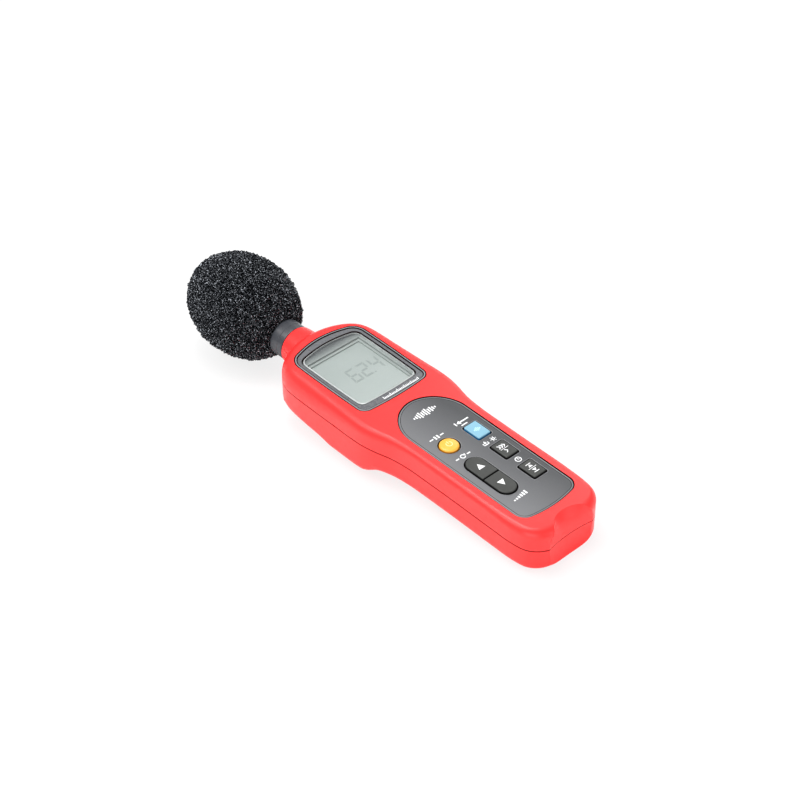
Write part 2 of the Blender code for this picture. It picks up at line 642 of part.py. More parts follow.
def battery_cell(number, x, nub_sign):
    """Cell and its spring; nub_sign is the way along y that the positive nub points."""
    flat_y = BAY_MID_Y + nub_sign * (BAY_HALF_Y - 1.9 - CELL_LEN)
    profile = [(0, 0), (4.6, 0), (CELL_R, 0.5), (CELL_R, CELL_LEN - 0.5), (4.6, CELL_LEN),
               (1.9, CELL_LEN), (1.9, CELL_LEN + 0.9), (0, CELL_LEN + 0.9)]
    turned(f"battery_cell_{number}", [(r, nub_sign * h) for r, h in profile],
           (x, flat_y, CELL_Z), steps=20, mat=CELL_MAT)

    turns, segments, length, clearance = 3.0, 27, 4.1, 0.65
    path = []
    for k in range(segments + 1):
        f = k / segments
        rise = min(max((f - 0.12) / 0.76, 0), 1)       # both end coils lie flat
        angle = 2 * math.pi * turns * f
        radius = 2.4 + 1.1 * rise
        path.append((x + radius * math.cos(angle),
                     flat_y - nub_sign * (clearance + length * rise),
                     CELL_Z + radius * math.sin(angle)))
    wire(f"battery_spring_{number}", path, 0.33, SPRING_MAT)


def contacts():
    """Two plates bridging neighbouring cells and two with a tail up to the board."""
    half, tail_half, thick, tail_top = 4.2, 1.2, 0.4, 20.6
    low, high = plate_z = (9.0, 17.4)
    butt_y = (BAY_Y0 + GAP, BAY_Y0 + GAP + thick)
    mic_y = (BAY_Y1 - GAP - thick, BAY_Y1 - GAP)
    box("contact_bridge_rear", (-CELL_PITCH - half, half), butt_y, plate_z, CONTACT_MAT)
    box("contact_bridge_front", (-half, CELL_PITCH + half), mic_y, plate_z, CONTACT_MAT)
    for name, x, ys in (("contact_negative", -CELL_PITCH, mic_y),
                        ("contact_positive", CELL_PITCH, butt_y)):
        outline = [(x + half, low), (x + half, high), (x + tail_half, high),
                   (x + tail_half, tail_top), (x - tail_half, tail_top),
                   (x - tail_half, high), (x - half, high), (x - half, low)]
        prism(name, outline, ys, CONTACT_MAT, along="Y")


# ---- board and display ------------------------------------------------------
def main_board():
    board = prism("main_board", mirrored(inset(3.9, ymin=-122.9, ymax=53.5)), BOARD_Z, BOARD_MAT)
    for i, (x, y, _, _) in enumerate(BOSSES):
        if y < 50:                             # the board stops short of the others
            cut(board, disc(f"boss_notch_{i}", (x, y), BOSS_R + 0.4, (19, 25), sides=12))
    box("processor", around(0, 6), around(-35, 6), (MOUNT_Z, MOUNT_Z + 1.5), CHIP_MAT)


def trimmer():
    x, y = centre = (21, -14)
    rotor_z = (23.7, 25.7)
    body = box("cal_trimmer_body", around(x, 2.6), around(y, 2.6),
               (MOUNT_Z, COMPONENT_TOP_Z), TRIMMER_MAT)
    cut(body, disc("trimmer_bore", centre, 1.9, (23.4, 27), sides=20))
    rotor = disc("cal_trimmer_rotor", centre, 1.6, rotor_z, sides=20, mat=ROTOR_MAT)
    cut(rotor, box("rotor_slot", around(x, 1.4), around(y, 0.25), (25.1, 27)))
    set_origin(rotor, x, y, sum(rotor_z) / 2)


def display():
    prism("lcd_glass", rounded(LCD_CENTRE, (18.6, 22.2), 0.5, 1), (27.4, 29.1), GLASS_MAT)
    frame = prism("lcd_frame", rounded(LCD_CENTRE, (18.7, 22.3), 0.6, 1), (29.4, 30.0), FRAME_MAT)
    cut(frame, prism("lcd_frame_hole", rounded((0, 26.4), (17.8, 21.2), 0.6, 1), (28, 32)))
    box("light_guide", around(0, 18.2), (4.8, 46.4), (25.5, 27.1), GUIDE_MAT)
    box("zebra_strip", around(0, 17), (46.8, 48.4), (MOUNT_Z, 27.1), ZEBRA_MAT)

    bezel = prism("display_bezel", display_outline(**SURROUND), (27.4, FACE_Z + 0.15),
                  BEZEL_MAT, crown=0.5, steps=1)
    cut(bezel, prism("window_rebate", window_outline(GAP), (31.1, 40)))
    cut(bezel, prism("display_well", rounded(LCD_CENTRE, (19.0, 22.6), 0.9, 2), (20, 40)))
    prism("display_window", window_outline(0.0), (31.4, 32.6), WINDOW_MAT)


# ---- keys with their switches -----------------------------------------------
def keypad_panel():
    panel = prism("keypad_panel", panel_outline(), PANEL_Z, PANEL_MAT)
    for hole in key_holes("panel"):
        cut(panel, hole)


def key(tag, cap, flange, centre, crown=0.5, top=KEY_TOP, steps=2):
    """Flanged key, and under it a switch housing with its plunger."""
    x, y = centre
    mat = material(tag + "_key", KEY_COLOURS.get(tag, KEY_BLACK), roughness=0.38)
    body = prism(tag + "_key", cap, (KEY_BODY_Z0, top), mat, crown=crown, steps=steps)
    join(body, prism(tag + "_flange", flange, FLANGE_Z))
    set_origin(body, x, y, FLANGE_Z[1])
    switch = box(tag + "_switch", around(x, 3), around(y, 3), (MOUNT_Z, COMPONENT_TOP_Z),
                 SWITCH_MAT)
    cut(switch, disc(tag + "_switch_bore", centre, 1.75, (23.2, 27), sides=12))
    plunger = disc(tag + "_plunger", centre, 1.35, (24.6, 27.3), sides=12, mat=PLUNGER_MAT)
    set_origin(plunger, x, y, FLANGE_Z[1])


def keys():
    key("power", arc(POWER_CENTRE, POWER_CAP_R, 0, 345, 24),
        arc(POWER_CENTRE, POWER_FLANGE_R, 0, 345, 24), POWER_CENTRE,
        crown=1.4, top=KEY_TOP + 0.1, steps=3)
    for tag, centre in RECT_KEYS.items():
        key(tag, rect_key_outline(tag, 0, 0.7), rect_key_outline(tag, RECT_FLANGE, 0.9), centre)
    x, y = LEVEL_CENTRE
    for tag, sign in (("level_up", 1), ("level_down", -1)):
        key(tag, level_key_outline(sign, LEVEL_CAP_R, 0.45),
            level_key_outline(sign, LEVEL_FLANGE_R, 0.16), (x, y + sign * LEVEL_ORIGIN))


# ---- microphone end ---------------------------------------------------------
def microphone():
    turned("mic_collar", COLLAR, MIC_AXIS, steps=30, mat=COLLAR_MAT)
    turned("mic_tube", TUBE, MIC_AXIS, steps=24, mat=TUBE_MAT)
    turned("mic_capsule", rod(4.9, 104.5, 110.8), MIC_AXIS, steps=20, mat=CAPSULE_MAT)
    grille = turned("mic_grille", GRILLE, MIC_AXIS, steps=24, mat=GRILLE_MAT)
    holes, ring_r = 5, 3.4
    for i in range(holes):
        a = 2 * math.pi * i / holes
        at = (ring_r * math.cos(a), 0, AXIS_Z + ring_r * math.sin(a))
        cut(grille, turned(f"grille_hole_{i}", rod(0.8, 111, 116), at, steps=6))
    wire("mic_cable", CABLE, 0.8, CABLE_MAT)


def foam_windscreen():
    """Rounded foam with a flat mouth, bored for the barrel."""
    mouth_angle = math.acos((FOAM_CUT_Y - FOAM_Y) / FOAM_L)
    profile = [(0, FOAM_CUT_Y)]
    for t in np.linspace(mouth_angle, 0, 15):
        profile.append((FOAM_R * math.sin(t), FOAM_Y + FOAM_L * math.cos(t)))
    foam = turned("foam_windscreen", profile, (0, 0, FOAM_Z), steps=30, mat=FOAM_MAT)
    bore = [(0, 115.0), (MIC_BORE_R - 0.4, 115.0), (MIC_BORE_R, 114.6), (MIC_BORE_R, 88), (0, 88)]
    cut(foam, turned("foam_bore", bore, MIC_AXIS, steps=30))
    set_origin(foam, 0, FOAM_CUT_Y, AXIS_Z)


# ---- fasteners --------------------------------------------------------------
def fasteners():
    for i, (x, y, _, head_z) in enumerate(BOSSES):
        profile = [(0, head_z + 0.4), (2.1, head_z + 0.4), (2.5, head_z + 0.8),
                   (2.5, head_z + 1.8), (1.2, head_z + 1.8), (1.2, 20.0), (0.7, 21.0), (0, 21.0)]
        screw = turned(f"case_screw_{i + 1}", profile, (x, y, 0), 10, SCREW_MAT, along="Z")
        cut(screw, box(f"drive_{i}", around(x, 1.4), around(y, 0.35), (3, head_z + 1.1)))
    turned("tripod_bush", [(3.2, 0.4), (4.5, 0.4), (4.5, 9.6), (3.2, 9.6)],
           (0, BUSH_Y, 0), 20, BUSH_MAT, along="Z")


recess_tool = recess_cutter()
front_case(recess_tool)
rear_case(recess_tool)
battery_door()
battery_cell(1, -CELL_PITCH, -1)
battery_cell(2, 0.0, 1)
battery_cell(3, CELL_PITCH, -1)
contacts()
main_board()
trimmer()
display()
keypad_panel()
keys()
microphone()
foam_windscreen()
fasteners()
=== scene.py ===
# Hand-held sound level meter with a foam windscreen on its microphone.
# It lies along Y with the microphone at the +Y end and its face up (+Z); x = 0 is its middle plane.
# Lengths of the product are in mm and become metres in the meshes. Materials, floor bodies, lights
# and camera are in metres.
import json
import math

import bmesh
import bpy
import numpy as np
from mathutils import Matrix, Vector, noise

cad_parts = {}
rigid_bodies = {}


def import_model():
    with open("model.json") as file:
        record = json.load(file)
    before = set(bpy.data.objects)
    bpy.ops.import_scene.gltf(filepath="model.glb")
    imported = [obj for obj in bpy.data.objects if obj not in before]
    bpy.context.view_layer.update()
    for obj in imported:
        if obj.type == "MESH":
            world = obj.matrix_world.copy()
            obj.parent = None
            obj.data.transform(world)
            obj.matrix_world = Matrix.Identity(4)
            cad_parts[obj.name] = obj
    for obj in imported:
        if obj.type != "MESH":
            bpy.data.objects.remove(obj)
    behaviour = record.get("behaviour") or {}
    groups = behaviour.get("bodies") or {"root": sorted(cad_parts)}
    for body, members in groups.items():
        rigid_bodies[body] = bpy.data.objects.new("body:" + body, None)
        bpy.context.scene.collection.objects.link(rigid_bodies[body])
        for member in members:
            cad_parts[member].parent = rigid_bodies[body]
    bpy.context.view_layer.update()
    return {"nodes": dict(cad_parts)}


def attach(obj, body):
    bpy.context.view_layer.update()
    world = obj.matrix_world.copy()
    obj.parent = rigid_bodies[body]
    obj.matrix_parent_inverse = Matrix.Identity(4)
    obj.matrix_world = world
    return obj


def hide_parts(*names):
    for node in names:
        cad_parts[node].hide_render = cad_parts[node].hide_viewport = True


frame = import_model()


MM = 0.001

# ---------------------------------------------------------------- dimensions, mm
GAP = 0.3                   # clearance between neighbouring pieces
FACE_Z = 33.0               # front face of the case
PART_Z = 20.2               # parting plane of the two case halves
PART_UP, PART_DOWN = PART_Z + GAP / 2, PART_Z - GAP / 2
WALL = 2.2
LIP_IN = 3.4                # inner side of the rear case's lip, from the outline
CEILING_Z = 29.2            # inside of the front face
AXIS_Z = 17.0               # axis of the microphone

# right half of the case outline, from the +Y end: x, y
HALF = [(0, 71.2), (4, 70.9), (9, 70.2), (14, 68.9), (19.5, 66.7), (24.2, 63.9),
        (28.5, 59.8), (31.1, 55), (32.3, 50), (32.75, 44), (32.95, 34), (33, 22),
        (33, 9), (33, -3), (32.4, -12.5), (30.5, -21.5), (28.3, -29.5),
        (26.9, -41), (26.6, -56), (26.5, -80), (26.6, -103), (26.4, -117.5),
        (24.6, -126.3), (19.6, -131.9), (13.8, -134.4), (7, -135.5), (0, -135.8)]
COUNT = 150                 # points on the half outline
# rounding of the front edge: y, width on the face
EDGE_WIDTH = [(-136, 5.0), (-112, 4.0), (-100, 3.2), (-40, 3.2), (-4, 5.0), (30, 6.6),
              (49, 6.8), (72, 6.4)]
# rounding of the front edge: y, depth down the side
EDGE_DEPTH = [(-136, 5.0), (-112, 4.0), (-100, 3.2), (-40, 3.2), (-4, 5.7), (30, 10.0),
              (49, 11.0), (58, 9.8), (72, 6.6)]
# back of the case: y, z
BACK = [(-137, 5.2), (-22, 5.2), (-18.5, 4.5), (-12, 0.7), (-9.1, -0.35), (16, -0.35),
        (24.5, 1.4), (38, 2.6), (53, 4.1), (73, 5.4)]
BACK_EDGE = 5.7             # radius of the back edge
# screws: x, y, z just over the pad, z of the back beside the head; on both sides of x = 0
SCREWS = [(side * x, y, top, back)
          for x, y, top, back in ((25.2, 57.0, 9.4, 5.3), (20.2, -62.0, 9.0, 5.2))
          for side in (1, -1)]
BUSH_Y = 10.5
BAY_Y0, BAY_Y1, BAY_X = -125.3, -73.7, 17.0     # battery bay: both ends, half width
BAY_MID, BAY_HALF = (BAY_Y0 + BAY_Y1) / 2, (BAY_Y1 - BAY_Y0) / 2
KEYS = {"power": (-8.3, -52.6), "recall": (10.85, -53.9), "fast_slow": (10.85, -74.3),
        "max_min": (10.85, -94.7)}
BLOCK_KEYS = ("recall", "fast_slow", "max_min")
LEVEL_X, LEVEL_Y = -8.5, -83.9                  # middle of the two-part level key
LEVEL_HOLE_R, LEVEL_HALF = 6.25, 17.35          # its hole: end radius, half length
KEY_TOP = 33.7
MIC_R = 6.35
BORE_R = MIC_R + GAP
FOAM_Y, FOAM_Z, FOAM_R, FOAM_L = 127.4, 18.8, 29.7, 38.3    # centre, radius, half length
FOAM_CUT_Y = 92.0           # flat end of the foam

LOOKS = bpy.data.collections.new("looks")
TOOLS = bpy.data.collections.new("tools")
bpy.context.scene.collection.children.link(LOOKS)
bpy.context.scene.collection.children.link(TOOLS)

# ---------------------------------------------------------------- materials
MATERIALS = {}
MID = (0.3, 0.7)            # where most values of a noise lie


class Look:
    """A new material, filed in MATERIALS, with short ways to build its nodes."""

    def __init__(self, name):
        MATERIALS[name] = material = bpy.data.materials.new(name)
        material.use_nodes = True
        self.tree = material.node_tree
        self.shader = self.tree.nodes["Principled BSDF"]
        self.coords = self.add("TexCoord").outputs["Object"]

    def feed(self, node, inputs):
        """Link or set a node's inputs."""
        for key, value in inputs.items():
            socket = node.inputs[key]
            if isinstance(value, bpy.types.NodeSocket):
                self.tree.links.new(value, socket)
            else:
                socket.default_value = (*value, 1) if socket.type == 'RGBA' else value

    def add(self, kind, inputs={}, **props):
        node = self.tree.nodes.new("ShaderNode" + kind)
        for key, value in props.items():
            setattr(node, key, value)
        self.feed(node, inputs)
        return node

    def surface(self, inputs):
        self.feed(self.shader, inputs)

    def output(self, node):
        self.feed(self.tree.nodes["Material Output"], {"Surface": node.outputs[0]})

    def noise(self, scale, detail=3.0, rough=0.5, stretch=None):
        place = self.coords
        if stretch:
            place = self.add("Mapping", {"Scale": stretch, "Vector": place}).outputs["Vector"]
        return self.add("TexNoise", {"Scale": scale, "Detail": detail, "Roughness": rough,
                                     "Vector": place}).outputs["Fac"]

    def remap(self, value, to=(0.0, 1.0), span=(0.0, 1.0)):
        """Map the values of span onto to, clamped."""
        return self.add("MapRange", {"From Min": span[0], "From Max": span[1], "To Min": to[0],
                                     "To Max": to[1], "Value": value}).outputs["Result"]

    def calc(self, operation, *values):
        return self.add("Math", dict(enumerate(values)), operation=operation).outputs[0]

    def mix(self, factor, first, second, **props):
        return self.add("Mix", {0: factor, 6: first, 7: second}, data_type='RGBA',
                        **props).outputs[2]

    def position(self):
        return self.add("SeparateXYZ", {0: self.coords}).outputs

    def bump(self, height, strength, depth, edge=0.0):
        """Relief, with edges rounded to the radius edge."""
        inputs = {"Strength": strength, "Distance": depth, "Height": height}
        if edge:
            inputs["Normal"] = self.add("Bevel", {"Radius": edge}, samples=4).outputs["Normal"]
        self.surface({"Normal": self.add("Bump", inputs).outputs["Normal"]})


def plastic(name, rgb, rough, grain, depth, strength, edge, vary, coat, specular):
    """Moulded plastic: fine grain, cloudy tint, uneven gloss, rounded edges."""
    look = Look(name)
    dark = tuple(c * (1 - vary) for c in rgb)
    light = tuple(min(c * (1 + vary), 1) for c in rgb)
    cloud = look.noise(scale=28.0, detail=2.0)
    gloss = look.noise(scale=420.0)
    look.surface({"Base Color": look.mix(look.remap(cloud, span=MID), dark, light),
                  "Roughness": look.remap(gloss, to=(rough * 0.85, rough * 1.18), span=MID),
                  "Coat Weight": coat, "Coat Roughness": 0.12,
                  "Specular IOR Level": specular})
    look.bump(look.noise(scale=grain, detail=2.0, rough=0.6), strength, depth, edge)


# name, colour, roughness, grain scale, depth and strength, edge radius, tint variation, coat,
# specular
for row in (
        ("red_plastic", (0.95, 0.022, 0.021), 0.36, 1500, 2e-5, 0.2, 0.00035, 0.03, 0.06, 0.4),
        ("red_plastic_door", (0.92, 0.022, 0.021), 0.38, 1500, 3e-5, 0.3, 3e-4, 0.03, 0.05, 0.5),
        ("seam_shade", (0.28, 0.008, 0.008), 0.7, 1500, 2e-5, 0.2, 0.0, 0.05, 0.0, 0.1),
        ("gap_shade", (0.010, 0.006, 0.006), 0.7, 1500, 2e-5, 0.2, 0.0, 0.1, 0.0, 0.1),
        # painted highlight for the bezel's rounded rim
        ("bezel_rim_painted_highlight", (0.19, 0.195, 0.205), 0.25, 2600, 1e-5, 0.25, 2e-4, 0.05, 0.3, 0.5),
        # painted highlight for the keypad's raised lips and edge line
        ("lip_painted_highlight", (0.17, 0.173, 0.182), 0.35, 2600, 1e-5, 0.25, 1e-4, 0.05, 0.1, 0.5),
        ("bezel_grey", (0.105, 0.108, 0.117), 0.28, 2600, 1e-5, 0.25, 2e-4, 0.05, 0.25, 0.5),
        ("collar_grey", (0.034, 0.037, 0.045), 0.34, 2200, 2e-5, 0.3, 2e-4, 0.06, 0.1, 0.5),
        ("key_yellow", (0.86, 0.43, 0.040), 0.36, 2600, 1.5e-5, 0.3, 0.00025, 0.04, 0.15, 0.5),
        # painted shade on the yellow key's walls
        ("key_yellow_painted_shade", (0.72, 0.25, 0.010), 0.45, 2600, 1.5e-5, 0.3, 0.00025, 0.04, 0.0, 0.2),
        ("key_blue", (0.185, 0.40, 0.52), 0.42, 2600, 1.5e-5, 0.3, 0.00025, 0.04, 0.05, 0.5),
        # painted shade on the blue key's walls
        ("key_blue_painted_shade", (0.035, 0.20, 0.44), 0.5, 2600, 1.5e-5, 0.3, 2e-4, 0.04, 0.0, 0.2),
        ("key_charcoal", (0.038, 0.040, 0.037), 0.46, 2600, 2e-5, 0.35, 3e-4, 0.08, 0.0, 0.35),
        # painted shade on the dark keys' walls and on a ring inside the keypad's edge
        ("key_side_painted_shade", (0.006, 0.006, 0.006), 0.5, 2600, 2e-5, 0.35, 2e-4, 0.08, 0.0, 0.2),
        ("black_plastic", (0.02, 0.02, 0.022), 0.45, 2600, 2e-5, 0.3, 2e-4, 0.1, 0.0, 0.5),
        ("light_guide", (0.72, 0.76, 0.76), 0.18, 1200, 1e-5, 0.2, 2e-4, 0.03, 0.0, 0.5),
        ("zebra_rubber", (0.26, 0.10, 0.10), 0.6, 3000, 3e-5, 0.4, 1e-4, 0.1, 0.0, 0.5),
        ("trimmer_blue", (0.03, 0.12, 0.45), 0.35, 2600, 2e-5, 0.3, 2e-4, 0.06, 0.0, 0.5),
        ("lcd_frame_grey", (0.38, 0.40, 0.395), 0.5, 2600, 2e-5, 0.3, 1e-4, 0.04, 0.0, 0.2)):
    plastic(*row)


def shelf_look():
    """Ledge in the display: painted shade below the window's +Y edge, paler towards the glass."""
    look = Look("display_shelf_painted_shade")
    up = look.remap(look.position()["Y"], span=(0.0478, 0.0535))
    gloss = look.noise(scale=420.0)
    look.surface({"Base Color": look.mix(up, (0.36, 0.38, 0.375), (0.105, 0.108, 0.115)),
                  "Roughness": look.remap(gloss, to=(0.5, 0.6), span=MID)})
    look.bump(look.noise(scale=2600.0, detail=2.0), strength=0.25, depth=2e-5, edge=2e-4)


def metal(name, rgb, rough, lines):
    """Machined metal with slight tarnish; lines is the scale of its tool marks along x, y, z."""
    look = Look(name)
    tone = look.remap(look.noise(scale=160.0, detail=4.0), span=(0.35, 0.7))
    gloss = look.noise(scale=1.0, stretch=lines)
    look.surface({"Base Color": look.mix(tone, tuple(c * 0.82 for c in rgb), rgb),
                  "Metallic": 1.0,
                  "Roughness": look.remap(gloss, to=(rough * 0.7, rough * 1.4), span=MID)})
    look.bump(look.noise(scale=1.0, stretch=lines), strength=0.3, depth=4e-6, edge=0.00015)


def panel_look():
    """Printed overlay: mid grey, with painted light that is brighter on its -X side and darkens
    unevenly across it, and fine orange peel.
    """
    look = Look("panel_grey")
    place = look.position()
    wave = look.noise(scale=22.0, detail=0.0)
    # painted light: brighter towards -X, shading off unevenly towards +X
    across = look.calc('MULTIPLY_ADD', place["Y"], 0.03, place["X"])
    lit = look.remap(across, to=(1.0, 0.0), span=(-0.0215, 0.0135))
    soft = look.calc('MULTIPLY_ADD', wave, 0.30, look.remap(lit, to=(-0.15, 0.85)))
    base = look.mix(look.remap(soft), (0.038, 0.040, 0.044), (0.150, 0.153, 0.161))
    speck = look.remap(look.noise(scale=5200.0, detail=1.0), to=(0.92, 1.08), span=(0.35, 0.65))
    grey = look.add("CombineColor", {0: speck, 1: speck, 2: speck}).outputs[0]
    gloss = look.noise(scale=500.0, detail=2.0)
    look.surface({"Base Color": look.mix(1.0, base, grey, blend_type='MULTIPLY'),
                  "Roughness": look.remap(gloss, to=(0.34, 0.44), span=MID)})
    look.bump(look.noise(scale=3000.0, detail=2.0), strength=0.25, depth=1e-5, edge=2e-4)


def ink(name, rgb, rough=0.5):
    """Screen-printed ink with slight density variation."""
    look = Look(name)
    grain = look.noise(scale=2500.0)
    thin = tuple(c * 0.93 for c in rgb)
    look.surface({"Base Color": look.mix(look.remap(grain, span=MID), thin, rgb),
                  "Roughness": rough})
    look.bump(grain, strength=0.2, depth=5e-6)


def window_look(name, tint, highlight_white):
    """Clear moulded window: see-through with a Fresnel gloss; a white layer mixed in is a painted
    highlight.
    """
    look = Look(name)
    clear = look.add("BsdfTransparent", {"Color": tint})
    gloss = look.add("BsdfGlossy", {"Roughness": 0.04})
    fresnel = look.add("LayerWeight", {"Blend": 0.18}).outputs["Fresnel"]
    shine = look.remap(fresnel, to=(0.02, 0.55))
    last = look.add("MixShader", {0: shine, 1: clear.outputs[0], 2: gloss.outputs[0]})
    cloud = look.noise(scale=90.0, detail=2.0)
    if highlight_white:
        white = look.add("BsdfDiffuse", {"Color": (0.86, 0.88, 0.88)})
        amount = look.remap(cloud, to=(highlight_white * 0.85, highlight_white), span=MID)
        last = look.add("MixShader", {0: amount, 1: last.outputs[0], 2: white.outputs[0]})
    else:
        look.feed(gloss, {"Roughness": look.remap(cloud, to=(0.03, 0.06), span=MID)})
    look.output(last)


def lcd_look():
    """Reflective liquid-crystal glass: grey-green, slightly uneven, with painted shade darkening
    it towards its +Y end, under the window's edge.
    """
    look = Look("lcd_reflector")
    # painted shade: darker towards the +Y end, under the window's edge
    along = look.remap(look.position()["Y"], span=(0.005, 0.048))
    base = look.mix(along, (0.470, 0.497, 0.488), (0.385, 0.412, 0.404))
    cloud = look.remap(look.noise(scale=60.0, detail=2.0), to=(0.0, 0.35), span=(0.35, 0.75))
    look.surface({"Base Color": look.mix(cloud, base, (0.49, 0.51, 0.503)), "Roughness": 0.28})
    look.bump(look.noise(scale=4000.0, detail=1.0), strength=0.15, depth=5e-6)


def foam_look():
    """Reticulated foam: fine struts over pores painted black as shade; some struts get painted
    glints.
    """
    look = Look("foam_black")
    wobble = look.add("TexNoise", {"Scale": 700.0, "Detail": 1.0, "Vector": look.coords})
    bent = look.add("VectorMath", {0: wobble.outputs["Color"], 1: (0.0009, 0.0009, 0.0009),
                                   2: look.coords}, operation='MULTIPLY_ADD').outputs[0]

    def net(scale, span, place):
        """Cell edges: 1 on a strut, 0 in a pore."""
        cells = look.add("TexVoronoi", {"Scale": scale, "Vector": place},
                         feature='DISTANCE_TO_EDGE')
        return look.remap(cells.outputs["Distance"], to=(1.0, 0.0), span=span)

    def times(first, second):
        return look.calc('MULTIPLY', first, second)

    near = net(700.0, (0.03, 0.15), bent)
    moved = look.add("VectorMath", {0: bent, 1: (0.013, 0.021, 0.034)}, operation='ADD')
    deep = net(980.0, (0.03, 0.13), moved.outputs[0])
    strut = look.add("Attribute", attribute_name="strut").outputs["Fac"]
    high = look.remap(strut, to=(0.15, 1.0), span=(0.25, 0.9))
    # painted shade: the pores are near black, the deeper struts dimmer and the surface struts
    # darker in the pits
    body = look.mix(times(deep, 0.55), (0.0008, 0.0009, 0.0011), (0.012, 0.0135, 0.017))
    body = look.mix(times(near, high), body, (0.028, 0.031, 0.039))
    # painted glints on a few struts, brighter towards the silhouette as a painted rim highlight
    painted_glint = look.remap(look.noise(scale=1250.0, detail=1.0), span=(0.58, 0.66))
    facing = look.add("LayerWeight", {"Blend": 0.35}).outputs["Facing"]
    rim = look.remap(facing, to=(0.8, 2.6), span=(0.30, 0.85))
    amount = times(times(painted_glint, near), rim)
    look.surface({"Base Color": look.mix(amount, body, (0.66, 0.70, 0.76)),
                  "Roughness": look.remap(near, to=(0.8, 0.35)),
                  "Specular IOR Level": times(near, times(high, 0.45))})
    look.bump(near, strength=0.8, depth=3e-4)


def board_look():
    look = Look("board_green")
    brick = look.add("TexBrick", {
        "Scale": 260.0, "Mortar Size": 0.03, "Color1": (0.02, 0.15, 0.06),
        "Color2": (0.018, 0.13, 0.055), "Mortar": (0.03, 0.24, 0.09), "Vector": look.coords})
    look.surface({"Base Color": brick.outputs["Color"], "Roughness": 0.35})
    look.bump(brick.outputs["Fac"], strength=0.3, depth=3e-5)


def cell_look():
    """Battery sleeve: dark green with a slight metallic sheen."""
    look = Look("cell_sleeve")
    grain = look.noise(scale=240.0)
    tint = look.remap(grain, span=MID)
    look.surface({"Base Color": look.mix(tint, (0.025, 0.06, 0.05), (0.035, 0.09, 0.075)),
                  "Metallic": 0.4,
                  "Roughness": look.remap(grain, to=(0.22, 0.36), span=MID)})
    look.bump(look.noise(scale=1800.0, detail=2.0), strength=0.2, depth=1e-5)


shelf_look()
metal("screw_steel", (0.58, 0.58, 0.60), rough=0.30, lines=(400, 400, 6000))
metal("mic_steel", (0.62, 0.63, 0.65), rough=0.22, lines=(300, 9000, 300))
metal("nickel_plate", (0.66, 0.64, 0.58), rough=0.28, lines=(400, 400, 6000))
metal("brass", (0.74, 0.53, 0.22), rough=0.26, lines=(400, 400, 9000))
panel_look()
ink("white_ink", (0.88, 0.89, 0.90))
ink("pale_ink", (1.0, 0.80, 0.38))
ink("sky_ink", (0.50, 0.83, 0.98))
window_look("window_clear", tint=(0.96, 0.975, 0.97), highlight_white=0.0)
# the pane's edge: whitened as a painted highlight
window_look("window_edge_painted_highlight", tint=(0.85, 0.87, 0.87), highlight_white=0.55)
lcd_look()
ink("lcd_segment", (0.335, 0.360, 0.352), rough=0.3)
foam_look()
board_look()
cell_look()


# ---------------------------------------------------------------- outlines
def cos_sin(degrees):
    angle = math.radians(degrees)
    return math.cos(angle), math.sin(angle)


def smooth_line(points, per_span=24):
    """Centripetal Catmull-Rom curve through the points."""
    knots = np.array(points, float)
    knots = np.vstack([2 * knots[0] - knots[1], knots, 2 * knots[-1] - knots[-2]])
    curve = []
    for i in range(1, len(knots) - 2):
        four = knots[i - 1:i + 3]
        times = [0.0]
        for j in range(3):
            times.append(times[-1] + math.sqrt(np.linalg.norm(four[j + 1] - four[j])))

        def blend(j, k, first, second):
            span = times[k] - times[j]
            return (times[k] - now) / span * first + (now - times[j]) / span * second

        for now in np.linspace(times[1], times[2], per_span, endpoint=False):
            lines = [blend(j, j + 1, four[j], four[j + 1]) for j in range(3)]
            bends = [blend(j, j + 2, lines[j], lines[j + 1]) for j in range(2)]
            curve.append(blend(1, 2, *bends))
    curve.append(knots[-2])
    return np.array(curve)


def relax(values, rounds):
    """Smooth a row of values, both ends fixed."""
    row = np.array(values, float)
    for _ in range(rounds):
        row[1:-1] = 0.25 * row[:-2] + 0.5 * row[1:-1] + 0.25 * row[2:]
    return row


def gaps(line):
    """Distance of each point from the one before."""
    return np.concatenate([[0], np.linalg.norm(np.diff(line, axis=0), axis=1)])


def resample(line, at, count):
    """Points of the line at equal steps of its parameter at."""
    steps = np.linspace(0, at[-1], count)
    return np.column_stack([np.interp(steps, at, line[:, k]) for k in range(2)])


def case_half():
    """Half outline of the case and its inward normals, closer together in the bends."""
    dense = smooth_line(HALF)
    dense = resample(dense, np.cumsum(gaps(dense)), 1200)
    # mirror both ends before smoothing, so that the middle stays square
    ends = (dense[1:60], dense[-60:-1])
    wide = np.vstack([(ends[0] * (-1, 1))[::-1], dense, (ends[1] * (-1, 1))[::-1]])
    wide = np.column_stack([relax(wide[:, k], 160) for k in range(2)])
    tangent = np.gradient(wide, axis=0)
    normal = np.column_stack([tangent[:, 1], -tangent[:, 0]])
    normal /= np.linalg.norm(normal, axis=1)[:, None]
    dense, normal = wide[59:-59], normal[59:-59]
    normal[0], normal[-1] = (0, -1), (0, 1)
    weight = np.cumsum(gaps(normal) * 26 + gaps(dense) * 0.5)   # bends count more than length
    points = resample(dense, weight, COUNT)
    normal = resample(normal, weight, COUNT)
    points[0, 0] = points[-1, 0] = 0
    return points, normal / np.linalg.norm(normal, axis=1)[:, None]


CASE_LINE, CASE_INWARD = case_half()


def soft_table(rows, window=5.0):
    """Table lookup with its corners rounded."""
    table = np.array(rows, float)
    stations = np.linspace(-140, 80, 881)
    values = relax(np.interp(stations, table[:, 0], table[:, 1]), int(window * 16))
    return lambda y: np.interp(y, stations, values)


edge_width, edge_depth = soft_table(EDGE_WIDTH), soft_table(EDGE_DEPTH)
back_z = soft_table(BACK, window=3.0)


